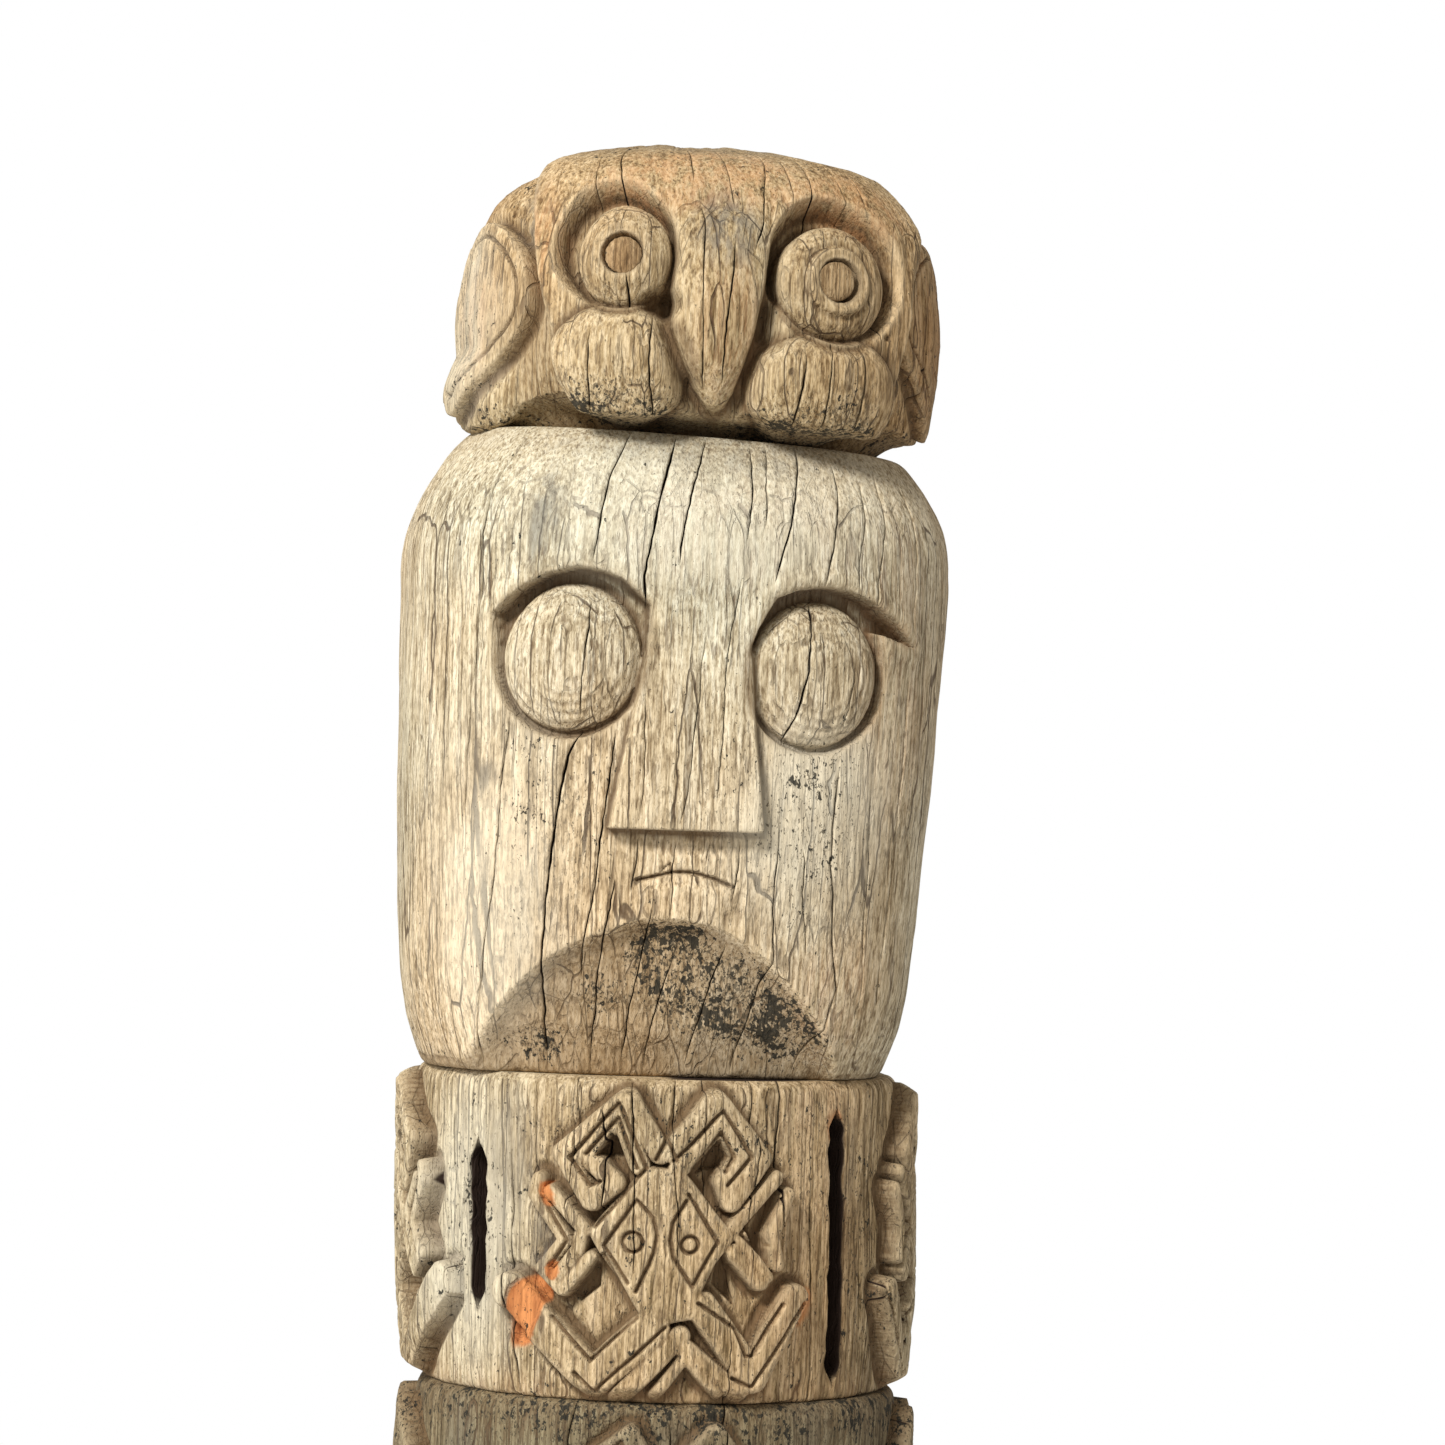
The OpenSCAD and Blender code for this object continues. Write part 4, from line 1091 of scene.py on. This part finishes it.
def pupil(node, slot, seed, radius):
    """A round plug along its CAD bore, with a worn end."""
    low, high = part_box(node)
    owl_low, owl_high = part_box("owl_head")
    out = outward(((low + high) / 2 - (owl_low + owl_high) / 2).x / MM)
    sides, rings, end = PUPIL_SIDES, PUPIL_RINGS, PUPIL_LENGTH / 2
    wobble = np.random.default_rng(seed).uniform(-0.25, 0.25, sides)
    angle = 2 * math.pi * np.arange(sides) / sides
    ways = np.stack([np.cos(angle), np.sin(angle)], 1)
    vertices = [(0, 0, end)]
    for r in radius * np.arange(1, rings + 1) / rings:
        worn = 0.9 * (r / radius) ** 4 + 0.21 * np.sin(3.1 * r * ways[:, 0] + seed)
        vertices += [(*((r + w * r / radius) * way), end - d) for way, w, d in zip(ways, wobble, worn)]
    vertices += [(*(radius * way), -end) for way in ways]
    co = np.array(vertices + [(0, 0, -end)])
    loops, sizes = [], []
    for i in range(sides):
        j = (i + 1) % sides
        loops += [0, 1 + i, 1 + j]
        for a in range(1, 1 + rings * sides, sides):
            loops += [a + i, a + sides + i, a + sides + j, a + j]
        loops += [1 + rings * sides + j, 1 + rings * sides + i, len(co) - 1]
        sizes += [3] + [4] * rings + [3]
    right = out.cross(Vector((0, 0, 1)))
    axes = np.array([right, (0, 0, 1), out])
    middle = (low + high) / 2 + out * PUPIL_PROUD * MM
    loops = np.array(loops)
    corners = co[loops]
    spread_out = np.where(corners[:, 2:] < end - 3, 1.25, 1) / (2.6 * radius)
    values = {name: np.zeros(len(co)) for name in MASKS}
    round_edge = np.hypot(co[:, 0], co[:, 1]) > radius * 0.86
    values["stain"] = (0.2 + 0.8 * round_edge) * (co[:, 2] > 0)
    obj = new_object(node + "_wood", co @ axes * MM + np.array(middle), loops, np.array(sizes),
                     np.clip(0.5 + corners[:, :2] * spread_out, 0.001, 0.999), values)
    finish_piece(obj, slot, node)


# Dark, middle and light tints, the place in the grain, the share of dirt, and that of hair cracks
WOODS = {
    "wood_face": ((148, 132, 106), (211, 198, 171), (238, 230, 209), (0, 0, 0), 0.35, 1.0),
    "wood_owl": ((120, 96, 64), (186, 163, 126), (218, 199, 166), (0.31, 0.2, 0.1), 0.5, 1.0),
    "wood_motif_drum": ((108, 94, 66), (182, 167, 137), (224, 212, 185), (0.63, 0.4, 0.2), 0.55, 1.0),
    "wood_lower_drum": ((72, 64, 46), (120, 108, 84), (160, 148, 120), (0.93, 0.1, 0.5), 0.7, 1.0),
    "wood_foot": ((84, 68, 48), (134, 114, 84), (170, 150, 118), (0.5, 0.7, 0.9), 0.6, 1.0),
    "wood_pupil": ((112, 90, 62), (168, 144, 110), (198, 178, 146), (0.2, 0.9, 0.3), 0.5, 0.3),
    "wood_dowel": ((150, 104, 62), (196, 148, 96), (216, 176, 124), (0.8, 0.3, 0.6), 0.1, 0.2),
}
wood = {name: weathered_wood(name, *look) for name, look in WOODS.items()}

Block("face_block", FACE_SIZES, FACE_PROFILE, face_relief, FACE_CRACKS + drying_cracks(5, 136, 736, FACE_H),
      front=132.0, seed=1, rough=0.9, level_ends=(10, 14), lean=[(225, 0), (308, 0.045)],
      drift=[(0, -3.8), (60, -3.6), (110, -2.6), (160, -1.2), (220, 0), (250, 0), (308, 4)],
      ).build("wood_face")
Block("owl_head", OWL_SIZES, OWL_PROFILE, owl_relief, OWL_CRACKS + drying_cracks(7, 152, 612, OWL_H, 26.0),
      step=0.72, front=165.0, seed=2, rough=1.25, top_share=0.3, level_ends=(14, 0),
      lean=[(0, 0.045), (60, 0)], drift=[(100, 0), (125, -5), (146, -9)], skirt=9.0,
      ).build("wood_owl", OWL_SHIFT)
Block("motif_drum", DRUM_SIZES, DRUM_PROFILE, marked_drum, drum_cracks(11, SLOTS),
      step=0.72, back_step=1.7, front=165.0, seed=3, level_ends=(8, 10), drift=[(0, 3.5), (154, 0)],
      ).build("wood_motif_drum")
Block("lower_drum", DRUM_SIZES, DRUM_PROFILE, soiled_drum, drum_cracks(21),
      step=0.95, back_step=1.7, front=165.0, seed=4, rough=1.2, level_ends=(8, 10), drift=[(0, 2), (154, 5)],
      ).build("wood_lower_drum")
Block("foot_plinth", FOOT_SIZES, FOOT_PROFILE, foot_relief, drying_cracks(31, -440, 440, FOOT_H, 26.0, 4.5),
      step=1.3, back_step=1.8, front=170.0, seed=5, rough=1.1, top_share=0.4, level_ends=(6, 0),
      ).build("wood_foot")
pupil("owl_pupil_left", "wood_pupil", 3, 8.7)
pupil("owl_pupil_right", "wood_pupil", 8, 9.5)

for name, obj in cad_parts.items():
    if name.startswith(("tenon_", "pegs_")):
        obj.data.materials.clear()
        obj.data.materials.append(wood["wood_dowel"])


# ---------------------------------------------------------------- floor, light and camera

def plain(name, tint, emission=0.0):
    g = Graph(name)
    if emission:
        shader = g.node("ShaderNodeEmission", {"Color": tint, "Strength": emission}).outputs["Emission"]
    else:
        shader = g.node("ShaderNodeBsdfPrincipled", {"Base Color": tint, "Roughness": 0.9}).outputs["BSDF"]
    g.node("ShaderNodeOutputMaterial", {"Surface": shader})
    return g.material


bpy.ops.mesh.primitive_circle_add(vertices=96, radius=1.05, fill_type="NGON", location=(0, 0, 0))
floor = bpy.context.object
floor.name = "floor"
floor.data.materials.append(plain("floor_white", (0.82, 0.82, 0.82, 1)))
bpy.ops.mesh.primitive_uv_sphere_add(segments=48, ring_count=24, radius=9, location=(0, 0, 0))
backdrop = bpy.context.object
backdrop.name = "backdrop"
backdrop.data.materials.append(plain("backdrop_white", (1, 1, 1, 1), 1.0))
for ray in ("diffuse", "glossy", "transmission", "volume_scatter", "shadow"):
    setattr(backdrop, "visible_" + ray, False)

world = bpy.data.worlds.new("studio")
world.use_nodes = True
world.node_tree.nodes["Background"].inputs["Color"].default_value = (1, 0.97, 0.91, 1)
world.node_tree.nodes["Background"].inputs["Strength"].default_value = 0.48
bpy.context.scene.world = world


def lamp(name, place, aim, size, power, tint):
    data = bpy.data.lights.new(name, "AREA")
    data.shape = "DISK"
    data.size = size
    data.energy = power
    data.color = tint
    obj = bpy.data.objects.new(name, data)
    obj.location = place
    obj.rotation_euler = (Vector(aim) - Vector(place)).to_track_quat("-Z", "Y").to_euler()
    bpy.context.scene.collection.objects.link(obj)


middle = Vector((0, 0, 0.5))
lamp("key", (-1.5, -2.15, 2.3), middle, 0.7, 108, (1.0, 0.985, 0.95))
lamp("side", (-2.6, -0.3, 0.9), middle, 1.4, 16, (1.0, 0.99, 0.97))

# The camera stands a little to the left of the face's front, below its middle, and leans slightly
camera_data = bpy.data.cameras.new("camera")
camera = bpy.data.objects.new("camera", camera_data)
bpy.context.scene.collection.objects.link(camera)
camera_data.sensor_width = 36
camera_data.lens = 122.1
away, eye_height, side_turn = 2.45, 0.479, math.radians(-5)
yaw, pitch, lean = math.radians(0.63), math.radians(1.41), math.radians(1.9)
forward = Vector((-math.sin(side_turn), math.cos(side_turn), 0))
right = Vector((math.cos(side_turn), math.sin(side_turn), 0))
up = Vector((0, 0, 1))
look = (forward + right * math.tan(yaw) + up * math.tan(pitch)).normalized()
across = right * math.cos(lean) + up * math.sin(lean)
across = (across - look * across.dot(look)).normalized()
above = across.cross(look)
turned = Matrix((across, above, -look)).transposed().to_4x4()
camera.matrix_world = Matrix.Translation(-forward * away + up * eye_height) @ turned
camera_data.clip_end = 60
bpy.context.scene.camera = camera
bpy.context.scene.view_settings.view_transform = "Standard"
